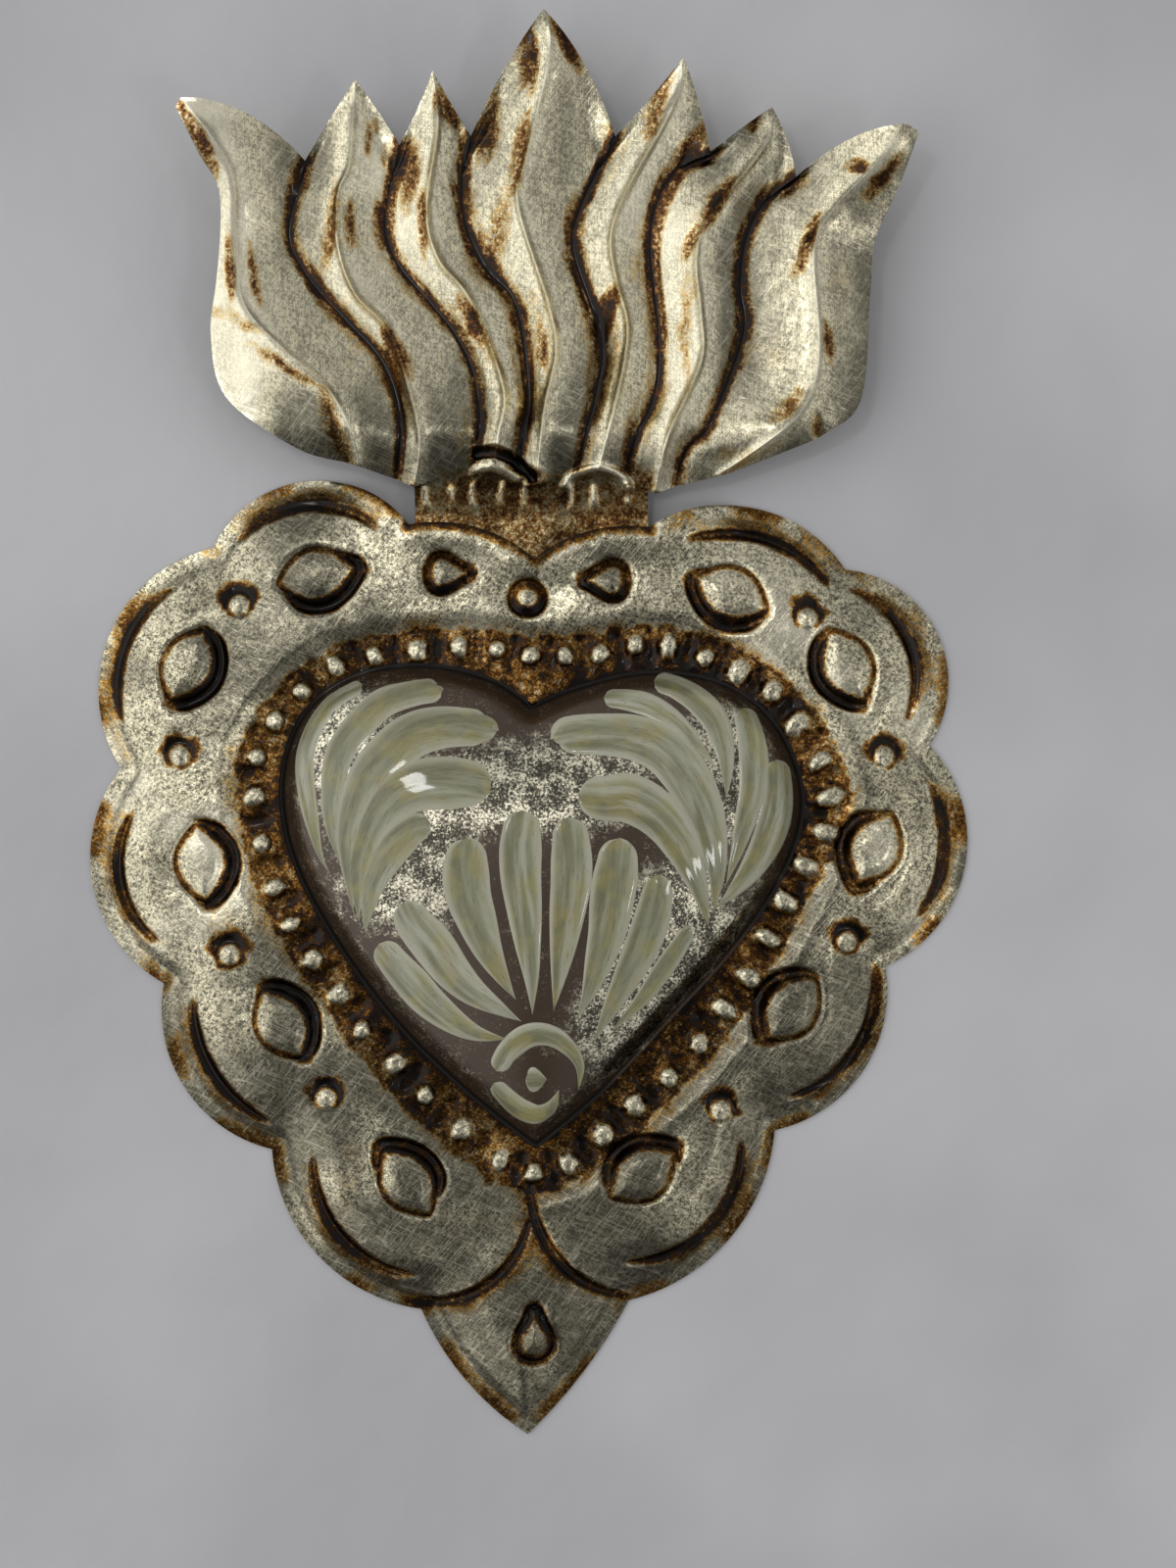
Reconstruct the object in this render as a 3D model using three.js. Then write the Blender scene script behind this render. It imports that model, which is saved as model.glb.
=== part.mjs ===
import * as THREE from "three";
import { ConvexHull } from "three/addons/math/ConvexHull.js";

// A sacred heart for a wall, in pressed and chased sheet tin: a scalloped heart plate with a heart-shaped
// opening, a domed heart held behind that opening, and a crown of flames whose neck laps behind the plate.
// It lies face up. X runs to the right, Y towards the flame tips and Z out of the face, in millimetres.

// Over all
const ornamentWidth = 101.54; // between the outermost scallops
const ornamentHeight = 162.8; // from the heart's point to the highest flame

// Stock and seams
const sheetThickness = 0.4;
const seamGap = 0.3; // left free wherever one piece lies behind, beside or on another
const edgeSpacing = 2.4; // between points along a cut edge
const fillSpacing = 4.2; // between points on open sheet
const openSpacing = 1.3; // kept by points on open sheet from those of a stamp, bead or groove
const leastSpacing = 0.62; // no two points of the sheet lie closer

// Heart plate: heights are of the underside, and the plate rests on its flat rim
const rimFlat = 1.3;
const rimStepWidth = 1.6;
const rimStepHeight = 1.0;
const fieldHeight = 3.0;
const fieldSlopeWidth = 6.0;
const neckLevelReach = 4.0; // around the neck the rim stays at the height of the field
const neckBlendReach = 8.0;
const grooveWidth = 1.4;
const grooveDepth = 0.6;
const medallionLength = 8.4;
const medallionWidth = 5.4;
const stampRing = 1.4; // width of the groove round each medallion and drop
const stampDepth = 0.7;
const stampRise = 0.5;
const dropLength = 4.0; // raised parts of the drops beside the neck, and of the one above the heart's point
const dropWidth = 3.0;
const pointDropLength = 5.0;
const cleftDropWidth = 2.4; // of the round one over the dome's cleft
const studRadius = 1.3;
const studRise = 0.7;
const bandReach = 1.9; // from the line of beads out to the edge of their band
const bandStepWidth = 2.4;
const bandDrop = 0.7;
const cellDepth = 0.4; // hollows between the beads, below the band
const beadCount = 42;
const beadRadius = 1.15;
const beadRise = 0.9;

// Domed heart
const domeHeight = 8.0; // above its flange
const domeWallHeight = 2.6;
const domeWallWidth = 2.4;
const domeCrownReach = 21.0; // from the edge in to where the top runs level
const flangeWidth = 3.0;
const domeRays = 56;
const domeRings = 6;

// Flames and their neck
const flameHeight = 7.0; // underside of the flames over the wall
const ridgeHeight = 1.2;
const creaseDepth = 1.0;
const hemDepth = 0.5;
const outerTipHeight = 4.5; // how far the two outer flames bend forward at their tips
const middleTipHeight = 1.8;
const tipFadeShare = 0.12; // of a crease's length, over which its relief fades in at the tip
const neckFadeShare = 0.2; // and out again above the neck
const neckReliefShare = 0.4; // what is left of the relief there
const flankHollow = 1.5; // above 1 the flanks of a ridge are hollow
const flameRows = 18;
const cellsPerStrip = 3;
const lapDepth = 2.0; // how far the neck reaches behind the plate
const neckWidth = 26.8;
const neckRibRise = 0.5;
const neckRibWidth = 1.0;

// Hanger and solder
const hangerX = -1.0;
const hangerY = 53.0;
const hangerThickness = 0.5;
const hangerWidth = 7.0;
const hangerArchWidth = 12.0;
const hangerWallGap = 0.4; // from the bottom of its arch to the wall
const hangerFootLength = 5.0;
const solderRadius = 1.7;
const solderHeight = 1.1;
const crownSolderShare = 0.34; // each side of the neck's middle, of its width
const domeTackCount = 6;

// Colours of the finished metal
const tin = { color: 0xb8ae94, roughness: 0.36, metalness: 0.95 };
const paintedTin = { color: 0x8d8f78, roughness: 0.3, metalness: 0.35 };
const solderMetal = { color: 0x9c9c98, roughness: 0.5, metalness: 0.9 };

// Paper pattern: plan points are given in its squares, which are stretched to the ornament's sizes
const patternSquares = [101.54, 162.8]; // across the whole pattern and up it

// Scallops of the heart's edge, anticlockwise from the left of the neck: where each one starts and a
// point half way along it. Each ends where the next one starts.
const scallops = [
  [[-13.9, 38.9], [-24.5, 44.2]], [[-36.7, 36.4], [-47.8, 28.2]], [[-47.4, 10.9], [-50.9, -0.6]],
  [[-42.4, -14], [-40.3, -25.6]], [[-29.9, -33.2], [-25.6, -44.3]], [[-12.6, -51.7], [-7.4, -60]],
  [[-0.3, -66.2], [6.2, -58.9]], [[11.4, -50.7], [22.4, -44.3]], [[28.3, -31], [38.1, -24.7]],
  [[41.1, -12], [50.2, -1.1]], [[46.2, 13.6], [46.8, 27.2]], [[36.5, 33.9], [25.5, 41.1]],
  [[13.7, 38.6], [7.3, 38.3]], [[0.5, 35], [-5.8, 38.5]],
];
const neckMiddle = [0.2, 38.6];

// Chased grooves behind the scallops, and the two that cross above the point: start, middle and end
const rimGrooves = [
  [[-33.6, 37.2], [-24.5, 41.2], [-17.7, 38.6]], [[-41.2, 31.7], [-47, 24.4], [-47.2, 16.5]],
  [[-45.9, 5.5], [-47.4, -1.1], [-43, -9.1]], [[-38.8, -15.9], [-37, -23.3], [-30.2, -29.9]],
  [[-24.9, -34.1], [-21.7, -43.2], [-13.7, -47.4]], [[24.3, -32.4], [21.2, -41.5], [11.2, -46]],
  [[40, -11.9], [37.6, -21.6], [30, -27]], [[46.2, 9.1], [47.8, 2.3], [44.8, -6.2]],
  [[37.2, 31.5], [43.8, 25], [43.4, 16.5]], [[18.4, 37.2], [25.5, 37.7], [34.5, 32]],
  [[-0.1, -40.9], [-4.5, -48.2], [-14.5, -50.6]], [[0, -36.9], [2.7, -44.9], [11.2, -50.2]],
];

// Stamped medallions: place and turn in degrees
const medallions = [
  [-24.5, 33.1, 12], [-39.3, 22.7, 64], [-37.7, 0, 96], [-28.5, -18.5, 120], [-14.1, -36.7, 125],
  [23.2, 31, -25], [36.5, 22.7, -65], [39.7, 1.7, 66], [30.1, -16.8, 52], [13, -35.8, 35],
];
const studs = [
  [-33.4, 29.7], [-40.2, 12.3], [-34.5, -10.5], [-23.4, -27],
  [31.9, 28.2], [40.8, 12.3], [36.5, -9.1], [22, -28.4],
];

// Drops: place and turn of the two beside the neck, of the one over the cleft and of the one at the point
const neckDrops = [[-9.2, 33.3, 0], [8.6, 32.5, 180]];
const cleftDrop = [-0.3, 30.5, 90];
const pointDrop = [0.5, -54.2, 90];

// The domed heart's edge, each side from the cleft down to the point
const domeLeft = [
  [0.2, 18], [-4.1, 20.9], [-11.5, 22.7], [-19.4, 21.8], [-25.7, 17.6], [-28.5, 10.2],
  [-27.6, 1.7], [-23.4, -7.2], [-16, -17.6], [-7.5, -26.1], [0.7, -32.6],
];
const domeRight = [
  [0.2, 18], [5.6, 20.2], [13.5, 21.9], [22, 20.7], [28.3, 15.9], [31.4, 7.7],
  [29.4, -0.6], [23.7, -9.4], [15.2, -18.8], [7.8, -26.7], [0.7, -32.6],
];
const domeMiddle = [1.2, 0];

// Every third bead of the ring round the dome
const beadLine = [
  [-8.1, 24.8], [-22.3, 22.5], [-31.4, 12.3], [-29.1, -2.6], [-22, -15.1], [-11.8, -26.7], [0.5, -35.8],
  [12.2, -27.8], [22.4, -17], [29.4, -4.5], [34.5, 7.7], [27.7, 19.5], [16, 25], [4.1, 23.6],
];

// Creases of the crown from left to right, each from its top down to the neck. A cut edge comes first
// and last, and between them ridges that end in flame tips alternate with valleys.
const creases = [
  [[-39.5, 85], [-37.2, 80.2], [-35, 75.8], [-35.5, 66.9], [-36.2, 60.2], [-34.4, 53],
    [-26.6, 47.4], [-20.9, 45.8]],
  [[-38.9, 86], [-33.6, 78.6], [-33, 71.3], [-32.2, 63.5], [-27.7, 58.3], [-22.7, 53.8],
    [-20.2, 49.1], [-19.3, 45.3]],
  [[-25.4, 79.8], [-27.3, 72.2], [-25.5, 67.4], [-21.1, 62.2], [-17.2, 58], [-15.3, 54.1],
    [-14.6, 49.7], [-15.3, 44]],
  [[-19.7, 88.9], [-20.2, 79.7], [-21.6, 75.8], [-21.6, 70.2], [-19.7, 64.7], [-15.5, 59.7],
    [-12.5, 49.1], [-13.2, 43.1]],
  [[-14.7, 81.6], [-16.4, 73.5], [-15, 68.5], [-11.4, 64.1], [-8.3, 60.2], [-6.3, 55.8],
    [-5.6, 50.2], [-6.4, 45.8]],
  [[-10.9, 89.9], [-10.3, 83.6], [-11.5, 74.1], [-10.2, 68.5], [-6.6, 63.8], [-2.9, 54.1],
    [-3.5, 48.5], [-3.9, 45.7]],
  [[-6.6, 82.6], [-7.6, 78], [-7.2, 73], [-5, 68], [-1.4, 63.5], [0, 53.5], [-0.6, 49.1], [-1.4, 44.8]],
  [[1.7, 96.6], [2.4, 91.3], [-0.3, 80.2], [-1.2, 74.7], [2.3, 63.3], [3.1, 58], [1.8, 51.9], [0.9, 43.5]],
  [[9.8, 82.6], [7.6, 78.6], [5.6, 74.1], [5.1, 69.7], [8.3, 59.7], [7.8, 54.1], [6.5, 49.1], [5.4, 44.7]],
  [[17.5, 91.3], [16.5, 86.3], [10.9, 75.8], [9.3, 70.8], [10, 65.8], [11.2, 59.7], [8.9, 48.5], [8, 45.3]],
  [[20.6, 80.7], [16.7, 78.9], [14.5, 75.2], [13.8, 70.2], [14.8, 59.1], [14.2, 53], [12.3, 49.1],
    [10.9, 44.7]],
  [[27.6, 85.9], [26.6, 81.3], [20.3, 73], [19, 68.5], [19.5, 62.4], [19.5, 56.9], [15.8, 48.5],
    [14.5, 42.4]],
  [[30.3, 77.9], [26.7, 75.2], [24.7, 71.3], [24, 65.8], [24.3, 60.2], [20.6, 50.2], [17.8, 47.1],
    [16.9, 43.3]],
  [[42, 83.1], [39.3, 78.9], [34.5, 74.1], [32.3, 69.7], [32.9, 59.1], [32, 53.5], [28.9, 49.3],
    [21.4, 44.2]],
  [[43.8, 82.1], [41.7, 76.3], [39.3, 70.8], [38.8, 64.7], [37.8, 53], [33.9, 49.1], [28.4, 46.7],
    [22.5, 44.5]],
];

// Middles of the curved cut edges between one crease's top and the next one's
const flameEdges = [
  [-39.2, 85.6], [-31.6, 84.6], [-22.7, 84.4], [-17.1, 85.4], [-12.4, 86.3], [-8.9, 86.4], [-3, 89.7],
  [6.4, 90.4], [13.6, 86.7], [19.3, 86.3], [24.2, 83.6], [29.3, 82.2], [35.8, 81.6], [43, 82.8],
];
const neckCreases = [3, 11]; // the creases between which the crown runs on into its neck
const crownMiddle = [2, 62];
const flameLiftRows = [39.5, 50.5]; // up the pattern, where the neck leaves the plate and levels out
const outerCurl = [[26, 68], [40, 84]]; // out from the crown's middle and up: where tips bend, from and to
const middleCurl = [84, 96];
const neckRibShares = [-0.46, -0.35, -0.245, -0.125, -0.025, 0.165, 0.27, 0.405]; // of the neck's width
const neckRibRows = [42.4, 40.4]; // up the pattern, the tops and the feet of the ribs

// Plan geometry

const [across, up] = [ornamentWidth / patternSquares[0], ornamentHeight / patternSquares[1]];
const plan = ([u, v]) => new THREE.Vector2(u * across, v * up);
const smoothly = (x) => THREE.MathUtils.smoothstep(x, 0, 1);
const risen = (x, [from, to]) => smoothly((x - from) / (to - from));
const bump = (distance, radius) => Math.max(0, 1 - (distance / radius) ** 2) ** 2;
const countFor = (length, spacing) => Math.max(2, Math.round(length / spacing));

function arcPoints(start, middle, end, spacing) {
  const [a, b, c] = [start, middle, end];
  const turn = 2 * (a.x * (b.y - c.y) + b.x * (c.y - a.y) + c.x * (a.y - b.y));
  const x = (a.lengthSq() * (b.y - c.y) + b.lengthSq() * (c.y - a.y) + c.lengthSq() * (a.y - b.y)) / turn;
  const y = (a.lengthSq() * (c.x - b.x) + b.lengthSq() * (a.x - c.x) + c.lengthSq() * (b.x - a.x)) / turn;
  const radius = Math.hypot(a.x - x, a.y - y);
  const from = Math.atan2(a.y - y, a.x - x);
  const to = Math.atan2(c.y - y, c.x - x);
  const arc = new THREE.EllipseCurve(x, y, radius, radius, from, to, turn < 0);
  return arc.getSpacedPoints(countFor(arc.getLength(), spacing));
}

function closedOutline(arcs, spacing) {
  return arcs.flatMap(([start, middle], i) => {
    const end = arcs[(i + 1) % arcs.length][0];
    return arcPoints(plan(start), plan(middle), plan(end), spacing).slice(0, -1);
  });
}

function distanceToSegment(p, a, b) {
  const along = b.clone().sub(a);
  const t = THREE.MathUtils.clamp(p.clone().sub(a).dot(along) / along.lengthSq(), 0, 1);
  return p.distanceTo(along.multiplyScalar(t).add(a));
}

function distanceToLine(p, line, closed) {
  let nearest = Infinity;
  for (let i = closed ? 0 : 1; i < line.length; i++) {
    nearest = Math.min(nearest, distanceToSegment(p, line.at(i - 1), line[i]));
  }
  return nearest;
}

function isInside(p, outline) {
  let inside = false;
  for (let i = 0; i < outline.length; i++) {
    const [a, b] = [outline.at(i - 1), outline[i]];
    if (a.y > p.y !== b.y > p.y && p.x < a.x + ((b.x - a.x) * (p.y - a.y)) / (b.y - a.y)) inside = !inside;
  }
  return inside;
}

// A copy of a closed line, moved to its left by the given distance, or to its right when that is negative.
// On an open line the first and the last point come out of place.
function offsetLine(line, distance) {
  return line.map((p, i) => {
    const back = p.clone().sub(line.at(i - 1)).normalize();
    const ahead = line[(i + 1) % line.length].clone().sub(p).normalize();
    const left = back.add(ahead).normalize();
    return p.clone().add(new THREE.Vector2(-left.y, left.x).multiplyScalar(distance));
  });
}

// The distance to a closed line, averaged so that it has no ridge half way between two sides
function softDistance(p, outline) {
  let sum = 0;
  outline.forEach((b, i) => {
    const a = outline.at(i - 1);
    const middle = a.clone().add(b).multiplyScalar(0.5);
    sum += a.distanceTo(b) / p.distanceTo(middle) ** 3;
  });
  return Math.sqrt(2 / sum);
}

// Sheets

// Joins plan points into triangles: the lower hull of the points lifted onto a bowl is their Delaunay net.
// The small nudge only keeps four points from lying on one circle.
function triangulate(points) {
  const nudge = 1e-4;
  const lifted = points.map((p, i) => {
    const x = p.x + nudge * Math.sin(i * 12.9);
    const y = p.y + nudge * Math.cos(i * 7.7);
    return new THREE.Vector3(x, y, x * x + y * y);
  });
  const indexOf = new Map(lifted.map((p, i) => [p, i]));
  return new ConvexHull().setFromPoints(lifted).faces
    .filter((face) => face.normal.z < 0)
    .map(({ edge }) => [edge.next.next, edge.next, edge].map((side) => indexOf.get(side.head().point)));
}

// Gives points in space, joined by anticlockwise triangles, the thickness of the sheet upwards
function sheetGeometry(points, triangles) {
  const count = points.length;
  const positions = [0, sheetThickness].flatMap((lift) => points.flatMap((p) => [p.x, p.y, p.z + lift]));
  const index = [];
  const cutEdges = new Map();
  for (const [a, b, c] of triangles) {
    index.push(a + count, b + count, c + count, a, c, b);
    for (const [from, to] of [[a, b], [b, c], [c, a]]) {
      if (!cutEdges.delete(`${to} ${from}`)) cutEdges.set(`${from} ${to}`, [from, to]);
    }
  }
  for (const [from, to] of cutEdges.values()) {
    index.push(from, to, to + count, from, to + count, from + count);
  }
  const geometry = new THREE.BufferGeometry();
  geometry.setAttribute("position", new THREE.Float32BufferAttribute(positions, 3));
  geometry.setIndex(index);
  geometry.computeVertexNormals();
  return geometry;
}

// Triangles of a grid of points, row after row, as a flat sheet or closed round into a ring
function gridTriangles(rows, columns, ring = false) {
  const triangles = [];
  for (let row = 0; row + 1 < rows; row++) {
    for (let column = 0; column + (ring ? 0 : 1) < columns; column++) {
      const next = (column + 1) % columns;
      const [a, b] = [row * columns + column, row * columns + next];
      triangles.push([a, a + columns, b], [b, a + columns, b + columns]);
    }
  }
  return triangles;
}

// Heart plate

const plateEdge = closedOutline(scallops, edgeSpacing);
const domeSide = (points) => new THREE.SplineCurve(points.map(plan)).getSpacedPoints(domeRays / 2);
const domeEdge = [...domeSide(domeLeft).slice(0, -1), ...domeSide(domeRight).reverse().slice(0, -1)];
const openingEdge = offsetLine(domeEdge, -seamGap);
const beadCurve = new THREE.CatmullRomCurve3(
  beadLine.map((p) => new THREE.Vector3(...plan(p), 0)), true, "catmullrom",
);
const beads = Array.from({ length: beadCount }, (_, i) => {
  const p = beadCurve.getPoint(i / beadCount);
  return new THREE.Vector2(p.x, p.y);
});
const grooveLines = rimGrooves.map((groove) => arcPoints(...groove.map(plan), edgeSpacing * 0.7));
const neckEnds = [-0.5, 0.5].map((share) => plan(neckMiddle).add(new THREE.Vector2(share * neckWidth, 0)));

const almond = (u) => 1 - u * u;
const disc = (u) => Math.sqrt(Math.max(0, 1 - u * u));
const drop = (u) => ((1 - u) * disc(u)) / (1.5 * disc(0.5)); // widest at -0.5
const stamps = [
  ...medallions.map(([u, v, turn]) => (
    { at: plan([u, v]), turn, length: medallionLength, width: medallionWidth, shape: almond }
  )),
  ...neckDrops.map(([u, v, turn]) => (
    { at: plan([u, v]), turn, length: dropLength, width: dropWidth, shape: drop }
  )),
  { at: plan(cleftDrop), turn: cleftDrop[2], length: cleftDropWidth, width: cleftDropWidth, shape: disc },
  { at: plan(pointDrop), turn: pointDrop[2], length: pointDropLength, width: dropWidth, shape: drop },
];

// How far a plan point lies outside a stamp's raised part, negative inside it
function distanceOutsideStamp(p, { at, turn, length, width, shape }) {
  const local = p.clone().sub(at).rotateAround(new THREE.Vector2(), -THREE.MathUtils.degToRad(turn));
  const u = (2 * local.x) / length;
  if (Math.abs(u) >= 1) return Math.hypot(local.x - Math.sign(u) * length / 2, local.y);
  const step = 0.02;
  const slope = (width * (shape(u + step) - shape(u - step))) / (2 * step * length);
  return (Math.abs(local.y) - (width / 2) * shape(u)) / Math.hypot(1, slope);
}

// Points round a stamp, the given distance outside its raised part
function stampRingPoints({ at, turn, length, width, shape }, outside) {
  const count = length > medallionLength / 2 ? 14 : 10;
  return Array.from({ length: count }, (_, i) => {
    const [sine, cosine] = [Math.sin((2 * Math.PI * i) / count), Math.cos((2 * Math.PI * i) / count)];
    const x = cosine * (length / 2 + outside);
    const y = Math.sign(sine) * (width / 2) * shape(cosine) + sine * outside;
    return new THREE.Vector2(x, y).rotateAround(new THREE.Vector2(), THREE.MathUtils.degToRad(turn)).add(at);
  });
}

function plateHeight(p) {
  const inset = distanceToLine(p, plateEdge, true);
  const fromNeck = distanceToSegment(p, ...neckEnds);
  const lowered = smoothly((fromNeck - neckLevelReach) / neckBlendReach);
  const rim = rimStepHeight * smoothly((inset - rimFlat) / rimStepWidth);
  const slope = (fieldHeight - rimStepHeight) * smoothly((inset - rimFlat) / fieldSlopeWidth);
  let height = THREE.MathUtils.lerp(fieldHeight, rim + slope, lowered);

  const fromBeadLine = distanceToLine(p, beads, true);
  const outward = isInside(p, beads) ? -fromBeadLine : fromBeadLine;
  const inBand = 1 - smoothly((outward - bandReach) / bandStepWidth);
  const fromBead = Math.min(...beads.map((bead) => bead.distanceTo(p)));
  height -= inBand * (bandDrop + cellDepth * smoothly((fromBead - beadRadius / 2) / (beadRadius / 2)));
  height += beadRise * bump(fromBead, beadRadius);

  for (const line of grooveLines) height -= grooveDepth * bump(distanceToLine(p, line), grooveWidth / 2);
  for (const stamp of stamps) {
    const outside = distanceOutsideStamp(p, stamp);
    height -= stampDepth * bump(outside - stampRing / 2, stampRing / 2);
    if (outside < 0) height += stampRise * smoothly(-outside / (stamp.width / 2));
  }
  for (const stud of studs) height += studRise * bump(p.distanceTo(plan(stud)), studRadius);
  return Math.max(0, height);
}

function platePoints() {
  const kept = [];
  const keep = (candidates, spacing = leastSpacing) => {
    for (const p of candidates) {
      if (kept.every((q) => q.distanceTo(p) > spacing)) kept.push(p);
    }
  };
  keep(plateEdge);
  keep(openingEdge);
  const edgeCount = kept.length;
  for (const stamp of stamps) {
    keep([stamp.at]);
    for (const share of [0, 0.5, 1]) keep(stampRingPoints(stamp, share * stampRing));
  }
  for (const [centres, radius] of [[beads, beadRadius], [studs.map(plan), studRadius]]) {
    for (const centre of centres) {
      keep([centre]);
      keep(new THREE.EllipseCurve(centre.x, centre.y, radius, radius).getPoints(6).slice(0, -1));
    }
  }
  for (const line of grooveLines) {
    const lips = [-grooveWidth / 2, grooveWidth / 2].flatMap((side) => offsetLine(line, side).slice(1, -1));
    keep([...line, ...lips]);
  }
  for (const reach of [bandReach, bandReach + bandStepWidth]) keep(offsetLine(beads, -reach), openSpacing);
  for (const inset of [rimFlat, rimFlat + rimStepWidth]) {
    const ring = offsetLine(plateEdge, inset);
    keep(ring.filter((p) => distanceToLine(p, plateEdge, true) > 0.9 * inset), openSpacing);
  }
  const box = new THREE.Box2().setFromPoints(plateEdge);
  const fill = [];
  for (let y = box.min.y; y < box.max.y; y += fillSpacing) {
    for (let x = box.min.x; x < box.max.x; x += fillSpacing) fill.push(new THREE.Vector2(x, y));
  }
  keep(fill, fillSpacing / 2);
  return kept.filter((p, i) => {
    if (i < edgeCount) return true;
    const clear = Math.min(distanceToLine(p, plateEdge, true), distanceToLine(p, openingEdge, true));
    return clear > leastSpacing && isInside(p, plateEdge) && !isInside(p, openingEdge);
  });
}

// Adds the middle of every stretch of a cut edge that the net of triangles would otherwise cut across
function splitCutEdge(edge, points) {
  return edge.flatMap((b, i) => {
    const a = edge.at(i - 1);
    const middle = a.clone().add(b).multiplyScalar(0.5);
    const half = a.distanceTo(b) / 2;
    const crossed = points.some((p) => p !== a && p !== b && p.distanceTo(middle) < half);
    return crossed ? [middle, b] : [b];
  });
}

function heartPlate() {
  let points = platePoints();
  let [outer, inner] = [plateEdge, openingEdge];
  for (let round = 0; round < 3; round++) {
    const before = new Set([...outer, ...inner]);
    [outer, inner] = [splitCutEdge(outer, points), splitCutEdge(inner, points)];
    points = [...points, ...[...outer, ...inner].filter((p) => !before.has(p))];
  }
  const triangles = triangulate(points).filter((corners) => {
    const centre = new THREE.Vector2();
    corners.forEach((corner) => centre.add(points[corner]));
    centre.divideScalar(3);
    return isInside(centre, outer) && !isInside(centre, inner);
  });
  return sheetGeometry(points.map((p) => new THREE.Vector3(p.x, p.y, plateHeight(p))), triangles);
}

// Domed heart: a flange behind the plate's opening, a steep wall and a gently rounded top

const flangeHeight = fieldHeight - bandDrop - cellDepth - seamGap - sheetThickness;

function domedHeart() {
  const middle = plan(domeMiddle);
  const flangeEdge = offsetLine(domeEdge, -flangeWidth);
  const rings = [flangeEdge, domeEdge];
  for (let ring = 1; ring < domeRings; ring++) {
    const share = (ring - 1) / (domeRings - 1);
    rings.push(domeEdge.map((p) => {
      const wall = p.clone().sub(middle).setLength(domeWallWidth);
      return p.clone().sub(wall).lerp(middle, share ** 1.15);
    }));
  }
  const points = rings.flatMap((ring, i) => ring.map((p) => {
    const inset = i < 2 ? 0 : softDistance(p, domeEdge);
    const wall = domeWallHeight * smoothly(inset / domeWallWidth);
    const top = 1 - (1 - Math.min(1, inset / domeCrownReach)) ** 2;
    return new THREE.Vector3(p.x, p.y, flangeHeight + wall + (domeHeight - domeWallHeight) * top);
  }));
  points.push(new THREE.Vector3(middle.x, middle.y, flangeHeight + domeHeight));
  const triangles = gridTriangles(rings.length, domeRays, true);
  const last = (rings.length - 1) * domeRays;
  for (let ray = 0; ray < domeRays; ray++) {
    triangles.push([last + ray, points.length - 1, last + ((ray + 1) % domeRays)]);
  }
  return sheetGeometry(points, triangles.map(([a, b, c]) => [a, c, b]));
}

// Crown of flames

const tongueHeight = fieldHeight - seamGap - sheetThickness;
const creaseCurves = creases.map((crease) => new THREE.SplineCurve(crease.map(plan)));
const creaseLevels = creases.map((_, i) => {
  if (i === 0 || i === creases.length - 1) return -hemDepth;
  return i % 2 ? ridgeHeight : -creaseDepth;
});

function flameBase(p) {
  const [u, v] = [p.x / across, p.y / up];
  const [[outFrom, upFrom], [outTo, upTo]] = outerCurl;
  const outerTip = risen(Math.abs(u - crownMiddle[0]), [outFrom, outTo]) * risen(v, [upFrom, upTo]);
  const curl = outerTipHeight * outerTip + middleTipHeight * risen(v, middleCurl);
  return THREE.MathUtils.lerp(tongueHeight, flameHeight, risen(v, flameLiftRows)) + curl;
}

function flamePoint(column, row) {
  const t = row / flameRows;
  const strip = Math.min(Math.floor(column / cellsPerStrip), creases.length - 2);
  const share = column / cellsPerStrip - strip;
  const [left, right] = [creaseCurves[strip], creaseCurves[strip + 1]];
  const p = left.getPointAt(t).lerp(right.getPointAt(t), share);
  const bow = plan(flameEdges[strip]).sub(left.getPointAt(0).lerp(right.getPointAt(0), 0.5));
  p.addScaledVector(bow, 4 * share * (1 - share) * (1 - t) ** 4); // all of the bow at the tip, soon none
  const [a, b] = [creaseLevels[strip], creaseLevels[strip + 1]];
  const towardsRidge = a > b ? 1 - share : share;
  const relief = THREE.MathUtils.lerp(Math.min(a, b), Math.max(a, b), towardsRidge ** flankHollow);
  const atNeck = smoothly((t - 1 + neckFadeShare) / neckFadeShare);
  const fade = smoothly(t / tipFadeShare) * THREE.MathUtils.lerp(1, neckReliefShare, atNeck);
  return new THREE.Vector3(p.x, p.y, flameBase(p) + relief * fade);
}

// The plate's upper edge over the neck, from right to left, and its height up the pattern at a given x
const plateTop = [-2, -1].flatMap((i) => {
  const [start, middle] = scallops.at(i);
  return arcPoints(plan(start), plan(middle), plan(scallops.at(i + 1 || 0)[0]), edgeSpacing);
});

function plateTopAt(x) {
  const i = THREE.MathUtils.clamp(plateTop.findIndex((p) => p.x <= x), 1, plateTop.length - 1);
  const [a, b] = [plateTop[i - 1], plateTop[i]];
  return THREE.MathUtils.mapLinear(x, a.x, b.x, a.y, b.y);
}

// Joins two rows of points, each from left to right, with triangles
function stitchRows(points, upper, lower) {
  const triangles = [];
  let [i, j] = [0, 0];
  while (i + 1 < upper.length || j + 1 < lower.length) {
    const canStepUpper = i + 1 < upper.length;
    const canStepLower = j + 1 < lower.length;
    if (canStepUpper && (!canStepLower || points[upper[i + 1]].x < points[lower[j + 1]].x)) {
      triangles.push([upper[i], lower[j], upper[i + 1]]);
      i++;
    } else {
      triangles.push([upper[i], lower[j], lower[j + 1]]);
      j++;
    }
  }
  return triangles;
}

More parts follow.
